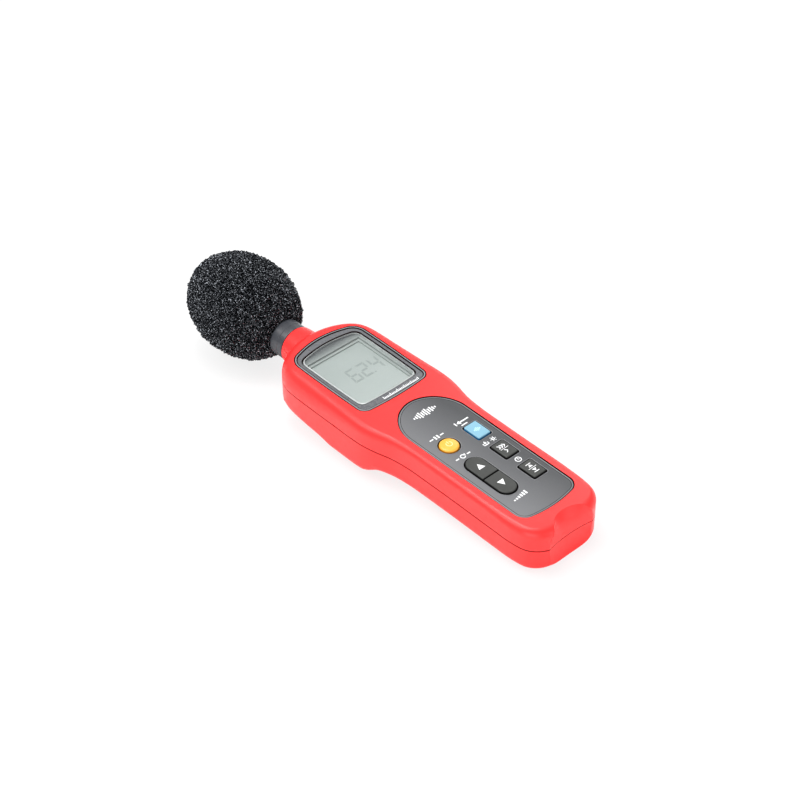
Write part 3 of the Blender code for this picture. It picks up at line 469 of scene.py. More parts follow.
def inset(distance, y_min=-1e9):
    """Half outline of the case moved inwards, cut square at y_min."""
    moved = CASE_LINE + CASE_INWARD * np.reshape(distance, (-1, 1))
    moved[0, 0] = moved[-1, 0] = 0
    kept = []
    for i, (x, y) in enumerate(moved):
        last_x, last_y = moved[i - 1]
        if i and (last_y < y_min) != (y < y_min):
            part = (y_min - last_y) / (y - last_y)
            kept += [(last_x + part * (x - last_x), y_min), (0, y_min)]
        if y_min <= y:
            kept.append((max(x, 0), y))
    return np.array(kept)


def mirrored(half):
    """Closed outline or ring from its right half."""
    right = [tuple(p) for p in half]
    return right + [(-p[0], *p[1:]) for p in reversed(right[1:-1])]


def lift(outline, z):
    return [(x, y, z) for x, y in outline]


def arc(cx, cy, rx, start, end, count, ry=None):
    ry = rx if ry is None else ry
    return [(cx + rx * math.cos(math.radians(a)), cy + ry * math.sin(math.radians(a)))
            for a in np.linspace(start, end, count)]


def circle(x, y, radius, count=72):
    return arc(x, y, radius, 0, 360, count + 1)[:-1]


def rounded(x, y, half_x, half_y, radius, seg=8):
    """Rectangle with rounded corners."""
    outline = []
    for sx, sy, start in ((1, 1, 0), (-1, 1, 90), (-1, -1, 180), (1, -1, 270)):
        outline += arc(x + sx * half_x - sx * radius, y + sy * half_y - sy * radius, radius,
                       start, start + 90, seg + 1)
    return outline


def surround(grow=0.0, y_top=59.3, y_low=-3.7, half_top=24.5, half_low=24.3, r_top=9.7,
             r_low=5.6, bulge=2.6, sink=0.9, side=0.25):
    """Display outline, always with the same number of points; bulge, sink and side bow its
    +Y end, its -Y end and its sides outwards."""
    top = arc(half_top - r_top, y_top - r_top, r_top + grow, 0, 80, 16)
    end = top[-1]
    peak = y_top + grow + bulge
    half = [(end[0] * f, peak - (peak - end[1]) * f ** 2) for f in np.linspace(0, 1, 11)[:-1]]
    half += top[::-1]
    low = arc(half_low - r_low, y_low + r_low, r_low + grow, 0, -86, 12)
    (ax, ay), (bx, by) = half[-1], low[0]
    half += [(ax + (bx - ax) * f + side * 4 * f * (1 - f), ay + (by - ay) * f)
             for f in np.linspace(0, 1, 9)[1:-1]]
    half += low
    end = half[-1]
    base = y_low - grow - sink
    half += [(end[0] * f, base + (end[1] - base) * f ** 2) for f in np.linspace(1, 0, 9)[1:]]
    return mirrored(half)


def window_line(grow):
    return surround(y_top=53.6 + grow, y_low=2.6 - grow, half_top=20.4 + grow,
                    half_low=20.2 + grow, r_top=5.2, r_low=3.8, bulge=2.0, sink=0.5, side=0.2)


def panel_line(grow=0.0):
    """Keypad outline: an arch at the +Y end, slightly tapering sides, rounded corners."""
    arch_y, arch_high, half_wide = -35.1, 22.2, 20.5
    taper, taper_run = 0.3, 77.2
    low_half, low_y, low_r, end_y = 20.2, -119.7, 7.4, -121.0
    half = [(0, -12.9 + grow)]
    for a in np.linspace(90, 0, 40)[1:]:
        c, s = cos_sin(a)
        half.append(((half_wide + grow) * c ** 1.04, arch_y + (arch_high + grow) * s ** 1.04))
    half += [(half_wide + grow - taper * (arch_y - y) / taper_run, y)
             for y in np.linspace(-45, -110, 7)]
    half += arc(low_half - low_r, low_y + low_r, low_r + grow, 0, -84, 16)
    end = half[-1]
    half += [(end[0] * f, end_y - grow + (end[1] - end_y + grow) * f ** 2)
             for f in np.linspace(1, 0, 8)[1:]]
    return mirrored(half)


def level_line(grow, count):
    """Stadium around the level key's hole."""
    radius = LEVEL_HOLE_R + grow
    return (arc(LEVEL_X, LEVEL_Y + LEVEL_HALF - LEVEL_HOLE_R, radius, 0, 180, count)
            + arc(LEVEL_X, LEVEL_Y - LEVEL_HALF + LEVEL_HOLE_R, radius, 180, 360, count))


def stadium_half(sign, radius, length, split):
    """One half of the level key, starting at split from its middle."""
    start_y = LEVEL_Y + split
    points = [(LEVEL_X + radius, start_y)]
    points += arc(LEVEL_X, LEVEL_Y + length - radius, radius, 0, 180, 29)
    points.append((LEVEL_X - radius, start_y))
    if sign < 0:
        points = [(x, 2 * LEVEL_Y - y) for x, y in reversed(points)]
    return points


# ---------------------------------------------------------------- solids
# A solid made without a material is a hidden cutting tool.
def new_object(name, mesh, material=None):
    ob = bpy.data.objects.new(name, mesh)
    (LOOKS if material else TOOLS).objects.link(ob)
    if material:
        mesh.materials.append(MATERIALS[material])
    else:
        ob.hide_render = True
    return ob


def shade(ob, sharp=40):
    ob.data.shade_smooth()
    ob.data.set_sharp_from_angle(angle=math.radians(sharp))
    weighted = ob.modifiers.new("weighted", 'WEIGHTED_NORMAL')
    weighted.keep_sharp, weighted.weight = True, 70


def close_mesh(bm, mesh):
    """Turn the faces outwards and write them to the mesh."""
    bmesh.ops.recalc_face_normals(bm, faces=bm.faces)
    bm.to_mesh(mesh)
    bm.free()
    return mesh


def stack(name, rings, material=None, ends="ngon", sharp=40):
    """Closed solid through rings of equal length. Its ends are one face each ("ngon"), strips
    across x ("strips"), or the last ring joins the first ("loop")."""
    bm = bmesh.new()
    verts = [[bm.verts.new([c * MM for c in p]) for p in ring] for ring in rings]
    count = len(verts[0])
    for low, high in zip(verts, verts[1:] + (verts[:1] if ends == "loop" else [])):
        for i in range(count):
            j = (i + 1) % count
            bm.faces.new((low[i], low[j], high[j], high[i]))
    for ring in (verts[0], verts[-1]):
        if ends == "ngon":
            bm.faces.new(ring)
        elif ends == "strips":
            half = count // 2
            bm.faces.new((ring[0], ring[1], ring[count - 1]))
            for i in range(1, half - 1):
                bm.faces.new((ring[i], ring[i + 1], ring[count - i - 1], ring[count - i]))
            bm.faces.new((ring[half - 1], ring[half], ring[half + 1]))
    bmesh.ops.remove_doubles(bm, verts=bm.verts, dist=1e-7)
    ob = new_object(name, close_mesh(bm, bpy.data.meshes.new(name)), material)
    if material:
        shade(ob, sharp)
    return ob


def prism(name, outline, z0, z1, material=None, crown=0.0, steps=6, foot=None, dome=0.0):
    """Upright solid. crown rounds its top edge, dome raises its top, and foot is the outline
    and lower z of a flange below z0."""
    rings = [lift(foot[0], foot[1]), lift(foot[0], z0)] if foot else []
    rings.append(lift(outline, z0))
    if crown:
        line = np.array(outline)
        after = np.roll(line, -1, axis=0)
        tangent = after - np.roll(line, 1, axis=0)
        inward = np.column_stack([-tangent[:, 1], tangent[:, 0]])
        inward /= np.maximum(np.linalg.norm(inward, axis=1)[:, None], 1e-9)
        if np.sum(line[:, 0] * after[:, 1] - after[:, 0] * line[:, 1]) < 0:
            inward = -inward
        for a in np.linspace(0, 90, steps + 1):
            c, s = cos_sin(a)
            top = line + inward * crown * (1 - c)
            rings.append(lift(top, z1 - crown * (1 - s)))
        if dome:
            mid = top.mean(0)
            for f in (0.8, 0.6, 0.4, 0.2):
                rings.append(lift([mid + (p - mid) * f for p in top], z1 + dome * (1 - f * f)))
    else:
        rings.append(lift(outline, z1))
    return stack(name, rings, material)


def turned(name, profile, material=None, along="Y", at=(0, 0, AXIS_Z), steps=96, sharp=35):
    """Lathe: (radius, height) points spun about an axis with the Screw modifier."""
    bm = bmesh.new()
    verts = [bm.verts.new((radius * MM, 0, height * MM)) for radius, height in profile]
    for pair in zip(verts, verts[1:]):
        bm.edges.new(pair)
    if profile[0][0] > 0:
        bm.edges.new((verts[-1], verts[0]))
    mesh = bpy.data.meshes.new(name + "_profile")
    bm.to_mesh(mesh)
    bm.free()
    blank = bpy.data.objects.new(name + "_profile", mesh)
    TOOLS.objects.link(blank)
    spin = blank.modifiers.new("spin", 'SCREW')
    spin.axis, spin.angle, spin.steps, spin.render_steps = 'Z', 2 * math.pi, steps, steps
    spin.use_merge_vertices, spin.merge_threshold = True, 1e-6
    mesh = evaluated_mesh(blank)
    bpy.data.objects.remove(blank, do_unlink=True)
    bm = bmesh.new()
    bm.from_mesh(mesh)
    for vert in bm.verts:
        x, y, z = vert.co
        if along == "Y":
            x, y, z = x, z, -y
        vert.co = (x + at[0] * MM, y + at[1] * MM, z + at[2] * MM)
    bmesh.ops.remove_doubles(bm, verts=bm.verts, dist=1e-6)
    ob = new_object(name, close_mesh(bm, mesh), material)
    if material:
        shade(ob, sharp)
    return ob


def evaluated_mesh(ob):
    bpy.context.view_layer.update()
    graph = bpy.context.evaluated_depsgraph_get()
    return bpy.data.meshes.new_from_object(ob.evaluated_get(graph))


def rod(radius, start, end):
    """Lathe profile of a plain cylinder."""
    return [(0, start), (radius, start), (radius, end), (0, end)]


def disc(name, x, y, radius, z0, z1, steps=48):
    return turned(name, rod(radius, z0, z1), along="Z", at=(x, y, 0), steps=steps)


def box(name, x0, x1, y0, y1, z0, z1):
    return prism(name, [(x1, y1), (x0, y1), (x0, y0), (x1, y0)], z0, z1)


def cut(ob, tool, how='DIFFERENCE'):
    boolean = ob.modifiers.new(tool.name, 'BOOLEAN')
    boolean.operation, boolean.solver, boolean.object = how, 'EXACT', tool


def bake(ob, sharp):
    """Apply every Boolean, then set clean shading."""
    for modifier in list(ob.modifiers):
        if modifier.type == 'WEIGHTED_NORMAL':
            ob.modifiers.remove(modifier)
    mesh = evaluated_mesh(ob)
    ob.modifiers.clear()
    ob.data = mesh
    bm = bmesh.new()
    bm.from_mesh(mesh)
    bmesh.ops.remove_doubles(bm, verts=bm.verts, dist=2e-7)
    bmesh.ops.dissolve_degenerate(bm, edges=bm.edges, dist=1e-7)
    bm.to_mesh(mesh)
    bm.free()
    shade(ob, sharp)


def inside(line, x, y):
    """Whether a point lies inside a closed outline."""
    hit = False
    px, py = line[-1]
    for qx, qy in line:
        if (qy > y) != (py > y) and x < (px - qx) * (y - qy) / (py - qy) + qx:
            hit = not hit
        px, py = qx, qy
    return hit


def paint(ob, material, test):
    """Give some faces another material: painted shade or a painted highlight. The test gets a
    face's centre in mm and how squarely it faces up or down (1 is level)."""
    ob.data.materials.append(MATERIALS[material])
    slot = len(ob.data.materials) - 1
    for face in ob.data.polygons:
        x, y, z = (c / MM for c in face.center)
        if test(x, y, z, abs(face.normal.z)):
            face.material_index = slot


def register(ob, body="case", replaces=None):
    """Tell the frame which body the piece moves with, which CAD node it replaces."""
    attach(ob, body)
    if replaces:
        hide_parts(replaces)


# ---------------------------------------------------------------- tools for both case halves
ANGLES = (0, 9, 18, 27, 36, 45, 54, 63, 72, 81, 90)     # steps round the case edges


def flat_ring(z, distance=0.0):
    return lift(mirrored(inset(distance)), z)


def front_ring(angle):
    y = CASE_LINE[:, 1]
    c, s = cos_sin(angle)
    line = inset(edge_width(y) * (1 - c))
    return mirrored(np.column_stack([line, FACE_Z - edge_depth(y) * (1 - s)]))


def rear_ring(angle):
    c, s = cos_sin(angle)
    line = inset(BACK_EDGE * (1 - c))
    return mirrored(np.column_stack([line, back_z(line[:, 1]) + BACK_EDGE * (1 - s)]))


# recess in the -Y end: z, y of its deepest point, half width and y at the case's end
RECESS = [
    (42, -122.0, 12.6, -134.9), (36, -124.9, 12.7, -134.9), (33, -126.5, 12.8, -134.9),
    (31, -128.3, 13.4, -134.75), (29, -129.9, 14.2, -134.5), (27, -130.8, 15.1, -134.2),
    (25, -131.5, 15.8, -133.9), (22.5, -132.0, 16.0, -133.8), (20.2, -132.3, 16.0, -133.8),
    (16, -132.5, 15.6, -133.95), (12, -132.7, 15.0, -134.1), (8, -132.85, 14.6, -134.2),
    (4, -133.0, 14.2, -134.3), (-3, -133.2, 14.0, -134.3)]
RECESS_RY = 9.5
recess = []
for z, apex, half_wide, end_y in RECESS:
    mid_y = apex - RECESS_RY
    rx = half_wide / math.sqrt(1 - ((end_y - mid_y) / RECESS_RY) ** 2)
    recess.append(lift(arc(0, mid_y, rx, -90, 270, 161, RECESS_RY)[:-1], z))
recess_cut = stack("recess_cut", recess)

# neck at the +Y end: radius, y
NECK = [(0, 66.0), (12.5, 66.0)]
NECK += [(12.45 - 0.65 * t - 0.44 * t * t, 66.5 + 14.2 * t) for t in np.linspace(0, 1, 8)]
NECK += [(11.1, 81.05), (10.85, 81.3), (0, 81.3)]
necks = []
for name, other_half, z0, z1 in (("neck_up", "neck_low_half", 0, PART_UP),
                                 ("neck_down", "neck_high_half", PART_DOWN, 40)):
    necks.append(turned(name, NECK, steps=100))
    cut(necks[-1], box(other_half, -20, 20, 60, 90, z0, z1))


def key_holes(tag):
    z0, z1 = 25, 45
    x, y = KEYS["power"]
    holes = [disc(tag + "_power_hole", x, y, 6.2, z0, z1, 72)]
    for key in BLOCK_KEYS:
        x, y = KEYS[key]
        holes.append(prism(f"{tag}_{key}_hole", rounded(x, y, 5.05, 6.65, 1.2), z0, z1))
    holes.append(prism(tag + "_level_hole", level_line(0, 33), z0, z1))
    return holes


# ---------------------------------------------------------------- front case
front = stack("case_front_shell", [flat_ring(PART_UP, 0.2), flat_ring(PART_UP + 0.2)]
              + [front_ring(a) for a in ANGLES], "red_plastic", ends="strips")
cut(front, necks[0], 'UNION')
cut(front, prism("front_hollow", mirrored(inset(2.7, y_min=-123.5)), 19.0, 24.0))
cut(front, prism("front_hollow_top", mirrored(inset(6.0, y_min=-120.0)), 23.0, CEILING_Z))
cut(front, prism("lip_groove", mirrored(inset(WALL, y_min=-128.3)), 19.0, 21.8))
cut(front, prism("bezel_opening", surround(0.3), 24, 45))
cut(front, prism("panel_pocket", panel_line(0.3), 31.2, 45))
for hole in key_holes("case"):
    cut(front, hole)
cut(front, turned("bore_front", rod(9.0, 60, 85), steps=90))
cut(front, recess_cut)
bake(front, 28)
openings = [surround(0.5), panel_line(0.5)]
paint(front, "gap_shade", lambda x, y, z, up:
      25 < z < 32.93 and up < 0.9 and any(inside(line, x, y) for line in openings)
      or 31.1 < z < 31.3 and up > 0.9)
paint(front, "seam_shade", lambda x, y, z, up: 20.3 < z < 20.6 and y < 64)
register(front, replaces="front_case")

# ---------------------------------------------------------------- rear case
rear = stack("case_rear_shell", [flat_ring(PART_DOWN, 0.2), flat_ring(PART_DOWN - 0.2)]
             + [rear_ring(a) for a in ANGLES], "red_plastic", ends="strips")
cut(rear, necks[1], 'UNION')
cut(rear, prism("lip", mirrored(inset(WALL + GAP, y_min=-128.0)), 14.0, 21.4), 'UNION')
hollow = []
# inset, y of the -Y end, height over the back (None: the open top)
for distance, end_y, over_back in ((LIP_IN, -127.1, None), (LIP_IN, -127.1, WALL + 3.0),
                                   (LIP_IN + 3.0, -124.1, WALL)):
    line = inset(distance, y_min=end_y)
    line = resample(line, np.cumsum(gaps(line)), 90)
    heights = np.full(90, 25.0) if over_back is None else back_z(line[:, 1]) + over_back
    hollow.append(mirrored(np.column_stack([line, heights])))
cut(rear, stack("rear_hollow", hollow, ends="strips"))
cut(rear, box("bay_block", -BAY_X - 1.5, BAY_X + 1.5, BAY_Y0 - 3.4, BAY_Y1 + 1.5, 6.0, 19.9),
    'UNION')
cut(rear, prism("bay", rounded(0, BAY_MID, BAY_X, BAY_HALF, 0.9), -1.0, 18.4))
for i, (x, y, top, back) in enumerate(SCREWS):
    cut(rear, disc(f"screw_pad_{i}", x, y, 3.9, back + 1.0, top - GAP), 'UNION')
    cut(rear, disc(f"screw_seat_{i}", x, y, 2.8, -2, back + 2.1))
cut(rear, disc("bush_pad", 0, BUSH_Y, 7.0, 1.2, 9.0), 'UNION')
cut(rear, disc("bush_hole", 0, BUSH_Y, 4.8, -2, 10, 64))
cut(rear, turned("bore_rear", rod(9.0, 60.5, 84), steps=84))
cut(rear, recess_cut)
bake(rear, 28)
# painted shade in the seam: the faces wholly between the parting edge and the top of the lip
rear.data.materials.append(MATERIALS["seam_shade"])
for face in rear.data.polygons:
    heights = [rear.data.vertices[i].co.z / MM for i in face.vertices]
    if 19.8 < min(heights) and max(heights) < 21.5 and face.center.y / MM < 64:
        face.material_index = 1
register(rear, replaces="rear_case")

# ---------------------------------------------------------------- battery door
door = prism("door_cover", rounded(0, BAY_MID, BAY_X - GAP, BAY_HALF - GAP, 0.8), 5.2, 7.0,
             "red_plastic_door")
for i in range(5):      # grip grooves, shorter towards the -Y end
    y = BAY_Y1 - 5.5 - 1.9 * i
    cut(door, prism(f"grip_{i}", rounded(0, y, 6.5 - i * 1.15, 0.5, 0.49, 6), 4.0, 5.75))
bake(door, 35)
register(door, "door", "battery_door")

# ---------------------------------------------------------------- display surround
TOP = FACE_Z + 0.15
BASE = 27.4
ROUND = 0.4                 # radius of its upper edges
WINDOW_GROW = 0.42          # opening around the window
SHELF_Z = 31.1
quarter = [(1 - c, 1 - s) for c, s in map(cos_sin, np.linspace(0, 90, 7))]
# outer wall, rounded edge, groove and inner land: growth of the outline, z
outer = [(-0.3, BASE), (-0.3, 32.0)]
outer += [(-0.3 - ROUND * dx, TOP - ROUND * dz) for dx, dz in quarter]
outer += [(-1.0, TOP), (-1.1, TOP - 0.08), (-1.15, TOP - 0.75), (-1.6, TOP - 0.75),
          (-1.75, TOP - 0.5)]
rings = [lift(surround(grow), z) for grow, z in outer]
rings += [lift(window_line(WINDOW_GROW + ROUND * dx), TOP - 0.5 - ROUND * dz)
          for dx, dz in reversed(quarter)]
rings.append(lift(window_line(WINDOW_GROW), SHELF_Z))
well = surround(y_top=49.2, y_low=4.0, half_top=19.0, half_low=19.0, r_top=0.9, r_low=0.9,
                bulge=0.0, sink=0.0, side=0.0)
rings += [lift(well, SHELF_Z), lift(well, BASE)]
bezel = stack("display_surround", rings, "bezel_grey", ends="loop", sharp=32)
rim_line, groove_out, groove_in, skirt = map(surround, (-1.12, -1.11, -1.7, -0.4))
window_out, window_in, shelf_line = map(window_line, (1.2, -0.3, 0.3))
# painted highlight: the bezel's rounded outer edge is a lighter grey
paint(bezel, "bezel_rim_painted_highlight", lambda x, y, z, up: z > TOP - 0.42 and not inside(rim_line, x, y))
paint(bezel, "gap_shade", lambda x, y, z, up:
      TOP - 0.76 < z < TOP - 0.1 and inside(groove_out, x, y) and not inside(groove_in, x, y)
      or z < TOP - 0.28 and not inside(skirt, x, y))
paint(bezel, "gap_shade", lambda x, y, z, up:
      29.5 < z < TOP - 0.505 and inside(window_out, x, y) and (up < 0.97 or z > 32)
      and not inside(window_in, x, y))
# painted shade on the ledge under the window
paint(bezel, "display_shelf_painted_shade", lambda x, y, z, up: z < 31.2 and inside(shelf_line, x, y))
register(bezel, replaces="display_bezel")

# ---------------------------------------------------------------- window and glass
pane = stack("display_pane", [lift(window_line(grow), z) for z, grow in
                              ((31.4, 0.0), (32.3, 0.0), (32.6, -0.38))],
             "window_clear", sharp=30)
# painted highlight: the pane's edge faces are whitened
paint(pane, "window_edge_painted_highlight", lambda x, y, z, up: up < 0.95)
register(pane, replaces="display_window")

rim_outer = rounded(0, 26.6, 18.95, 22.55, 0.85)
rim_inner = rounded(0, 26.4, 17.8, 21.2, 0.6)
rim_top = rounded(0, 26.4, 18.05, 21.45, 0.7)
lcd_rim = stack("lcd_rim", [lift(rim_outer, 29.14), lift(rim_outer, 30.0), lift(rim_top, 30.0),
                            lift(rim_inner, 29.85), lift(rim_inner, 29.14)],
                "lcd_frame_grey", ends="loop", sharp=30)
register(lcd_rim, replaces="lcd_frame")


def bars(name, shapes, z0, z1, material, body="case"):
    """Printed marks: flat outlines of any number, raised by the ink's thickness."""
    bm = bmesh.new()
    for outline in shapes:
        low, high = ([bm.verts.new((x * MM, y * MM, z * MM)) for x, y in outline]
                     for z in (z0, z1))
        bm.faces.new(low)
        bm.faces.new(high)
        for i in range(len(outline)):
            j = (i + 1) % len(outline)
            bm.faces.new((low[i], low[j], high[j], high[i]))
    ob = new_object(name, close_mesh(bm, bpy.data.meshes.new(name)), material)
    register(ob, body)


def segments(wide, high, thick, slack=0.22):
    """Mitred bars of a seven-segment digit; slack keeps them apart."""
    mid = high / 2
    left, right = thick, wide - thick
    joint = thick * 0.55 + slack
    return {"a": [(slack, high), (wide - slack, high), (right, high - thick),
                  (left, high - thick)],
            "d": [(slack, 0), (wide - slack, 0), (right, thick), (left, thick)],
            "g": [(thick * 0.6, mid), (left, mid + thick / 2), (right, mid + thick / 2),
                  (wide - thick * 0.6, mid), (right, mid - thick / 2), (left, mid - thick / 2)],
            "f": [(0, high - slack), (left - slack, high - thick - slack),
                  (left - slack, mid + joint), (0, mid + slack)],
            "b": [(wide, high - slack), (right + slack, high - thick - slack),
                  (right + slack, mid + joint), (wide, mid + slack)],
            "e": [(0, slack), (left - slack, thick + slack), (left - slack, mid - joint),
                  (0, mid - slack)],
            "c": [(wide, slack), (right + slack, thick + slack), (right + slack, mid - joint),
                  (wide, mid - slack)]}


DIGIT_Y, LEAN = 21.4, 0.08
digit_bars = segments(wide=6.2, high=11.8, thick=1.5)
shapes = []
for lit, x in (("afgedc", -7.2), ("abged", 0.4), ("fgbc", 8.6)):      # 6, 2, 4
    shapes += [[(x + px + py * LEAN, DIGIT_Y + py) for px, py in digit_bars[bar]]
               for bar in lit]
shapes.append(rounded(7.4, 21.9, 0.55, 0.55, 0.2, 3))                 # decimal point
bars("lcd_segments", shapes, 29.08, 29.13, "lcd_segment")

# ---------------------------------------------------------------- keypad
panel = prism("keypad_overlay", panel_line(-0.15), 31.5, 32.7, "panel_grey", crown=0.3, steps=4)
for hole in key_holes("panel"):
    cut(panel, hole)
bake(panel, 35)
paint(panel, "gap_shade", lambda x, y, z, up: up < 0.25 and z < 32.45)
register(panel, replaces="keypad_panel")


def raised_line(name, line, width=0.36, top=32.84, material="lip_painted_highlight"):
    """Thin raised line on the keypad: line(grow) is its inner outline grown. Its default grey is
    a painted highlight.
    """
    rings = [lift(line(grow), z) for grow, z in
             ((width, 32.6), (width, top - 0.06), (width * 0.75, top), (width * 0.25, top),
              (0, top - 0.06), (0, 32.6))]
    register(stack(name, rings, material, ends="loop", sharp=60))


# a line of painted highlight inside the keypad's edge, and a black ring of painted shade inside it
raised_line("panel_edge_line", lambda grow: panel_line(-1.0 + grow), 0.45, 32.78)
raised_line("panel_edge_shade", lambda grow: panel_line(-1.5 + grow), 0.4, 32.73,
            "key_side_painted_shade")
# raised lips round the key holes, in the painted highlight grey
raised_line("power_lip", lambda grow: circle(*KEYS["power"], 6.35 + grow, 96))
for tag in BLOCK_KEYS:
    raised_line(tag + "_lip",
                lambda grow: rounded(*KEYS[tag], 5.2 + grow, 6.8 + grow, 1.3 + grow))
raised_line("level_lip", lambda grow: level_line(0.15 + grow, 41))


def make_key(tag, cap, flange, material="key_charcoal", side="key_side_painted_shade", side_top=33.25,
             crown=0.5, top=KEY_TOP, dome=0.12, steps=6):
    """Key cap on its hidden flange; the walls below side_top take the side material, painted shade.
    """
    key = prism(tag + "_cap", cap, 28.9, top, material, crown=crown, steps=steps,
                foot=(flange, 27.6), dome=dome)
    paint(key, side, lambda x, y, z, up: z < side_top and up < 0.6)
    register(key, tag + "_button", tag + "_key")


make_key("power", circle(*KEYS["power"], 5.5), circle(*KEYS["power"], 7.4), "key_yellow",
         "key_yellow_painted_shade", side_top=33.0, crown=1.4, top=KEY_TOP + 0.1, dome=0.3, steps=10)
for tag in BLOCK_KEYS:
    colours = ("key_blue", "key_blue_painted_shade") if tag == "recall" else ()
    make_key(tag, rounded(*KEYS[tag], 4.3, 5.9, 0.8), rounded(*KEYS[tag], 6.1, 7.7, 0.9),
             *colours)
for tag, sign in (("level_up", 1), ("level_down", -1)):
    make_key(tag, stadium_half(sign, 5.45, LEVEL_HALF - 0.8, 0.45),
             stadium_half(sign, 7.2, LEVEL_HALF + 0.95, 0.16))


# ---------------------------------------------------------------- symbols in place of lettering
def shifted(x, y, points):
    return [(x + dx, y + dy) for dx, dy in points]


def rects(x, y, *rows):
    """Rectangles about (x, y); a row is the offset in x and y, the width and the height."""
    return [[(x + dx - w / 2, y + dy - h / 2), (x + dx + w / 2, y + dy - h / 2),
             (x + dx + w / 2, y + dy + h / 2), (x + dx - w / 2, y + dy + h / 2)]
            for dx, dy, w, h in rows]


def triangle(x, y, width, height):
    return [(x - width / 2, y - height / 2), (x + width / 2, y - height / 2),
            (x, y + height / 2)]


def flipped(shapes, mid_y):
    return [[(x, 2 * mid_y - y) for x, y in outline] for outline in shapes]


def ring_marks(x, y, radius, thick, start, end, count):
    """Part of a ring, as short pieces."""
    pieces = []
    angles = np.linspace(start, end, count + 1)
    for a, b in zip(angles, angles[1:]):
        corners = ((radius - thick, a), (radius, a), (radius, b), (radius - thick, b))
        pieces.append([(x + r * math.cos(math.radians(t)), y + r * math.sin(math.radians(t)))
                       for r, t in corners])
    return pieces


# pause between two rules
x, y = KEYS["power"]
marks = rects(x - 0.2, y + 9.3, (-0.95, 0, 1.0, 2.7), (0.95, 0, 1.0, 2.7),
              (-3.7, 0, 2.4, 0.75), (3.7, 0, 2.4, 0.75))
# recall: arrow leaving a line, over a rule
x, y = KEYS["recall"][0] - 0.6, -42.9
marks += rects(x, y, (-4.6, 0, 0.75, 2.6))
marks.append(shifted(x, y, [(-3.8, 0), (-1.4, 1.4), (-1.4, -1.4)]))
marks += rects(x, y, (1.6, 0, 6.0, 0.85), (-0.6, -2.7, 4.2, 0.75))
# store: arrow into a tray
x, y = KEYS["recall"][0] - 0.9, -64.2
marks += rects(x, y, (-2.9, -1.1, 3.6, 0.6), (-4.5, -0.4, 0.6, 1.7), (-1.3, -0.4, 0.6, 1.7))
marks.append(shifted(x, y, [(-3.9, 0.6), (-1.9, 0.6), (-2.9, -0.6)]))
marks += rects(x, y, (-2.9, 1.05, 0.7, 1.0))
# lamp with its rays
x += 2.6
marks += ring_marks(x, y, 1.0, 0.55, 0, 360, 20)
for a in range(0, 360, 60):
    c, s = cos_sin(a)
    marks.append([(x + out * c - aside * s, y + out * s + aside * c)
                  for out, aside in ((1.3, 0.2), (1.3, -0.2), (1.9, -0.2), (1.9, 0.2))])
# automatic: turning arrow between rules
x, y = LEVEL_X - 0.2, -63.4
marks += ring_marks(x, y, 1.6, 0.6, 40, 330, 24)
marks.append(shifted(x, y, [(0.35, 0.75), (2.2, 1.4), (1.7, -0.4)]))
marks += rects(x, y, (-3.9, 0, 2.2, 0.75), (4.1, 0, 2.2, 0.75))
# level: rising bars
x, y = LEVEL_X + 0.3, -104.4
for i in range(6):
    height = 0.8 + 0.4 * i
    marks += rects(x, y, (-4.3 + 1.7 * i, -1.3 + height / 2, 1.0, height))
# clock
x, y = KEYS["max_min"][0], -84.5
marks += ring_marks(x, y, 1.9, 0.5, 0, 360, 32)
marks += rects(x, y, (0, 0.5, 0.45, 1.2), (0.4, 0, 1.1, 0.45))
# sound wave
for i, height in enumerate((1.2, 2.2, 3.6, 5.0, 3.2, 4.4, 5.4, 3.0, 4.0, 2.4, 1.3)):
    marks += rects(0.4, -24.6, (-7.5 + 1.5 * i, 0, 0.8, height))
bars("panel_symbols", marks, 32.66, 32.73, "white_ink")

# range scale at the display's -Y end: 26 ticks 1 mm apart over a rule
SCALE_X, SCALE_Y = -7.4, -0.75
marks = []
for i in range(26):
    height = 1.7 if i % 5 == 0 else 1.0
    marks += rects(SCALE_X, SCALE_Y, (1.0 * i, (height - 1.7) / 2, 0.42, height))
marks += rects(SCALE_X, SCALE_Y, (12.5, -1.0, 25.42, 0.3))
bars("range_scale", marks, 32.63, 32.72, "white_ink")


def key_symbol(tag, shapes, material="white_ink", z0=33.72, z1=33.86):
    bars(tag + "_symbol", shapes, z0, z1, material, tag + "_button")


x, y = KEYS["power"]
key_symbol("power", ring_marks(x, y, 1.9, 0.42, 125, 415, 30)
           + rects(x, y, (0, 1.35, 0.42, 1.9)), "pale_ink", 33.98, 34.14)
key_symbol("recall", rects(*KEYS["recall"], *[(dx, 0, 0.5, height) for dx, height in (
    (-1.8, 1.0), (-0.9, 2.2), (0, 3.0), (0.9, 2.2), (1.8, 1.0))]), "sky_ink")
CHEVRON = [(-1.2, 1.3), (-0.45, 1.3), (0.75, 0), (-0.45, -1.3), (-1.2, -1.3), (0, 0)]
RULE = (0, 0, 5.4, 0.3)
x, y = KEYS["fast_slow"]
key_symbol("fast_slow", [shifted(x + dx, y + 2.1, CHEVRON) for dx in (-1.6, 0.0, 1.6)]
           + rects(x, y, RULE) + [shifted(x - 0.2, y - 2.1, CHEVRON)])
x, y = KEYS["max_min"]
up_marks = [triangle(x, y + 1.9, 2.8, 1.9)] + rects(x, y, (0, 3.3, 3.4, 0.45))
key_symbol("max_min", up_marks + flipped(up_marks, y) + rects(x, y, RULE))
up_marks = [triangle(LEVEL_X, LEVEL_Y + 8.4, 4.4, 4.0)]
key_symbol("level_up", up_marks, z1=33.87)
key_symbol("level_down", flipped(up_marks, LEVEL_Y), z1=33.87)

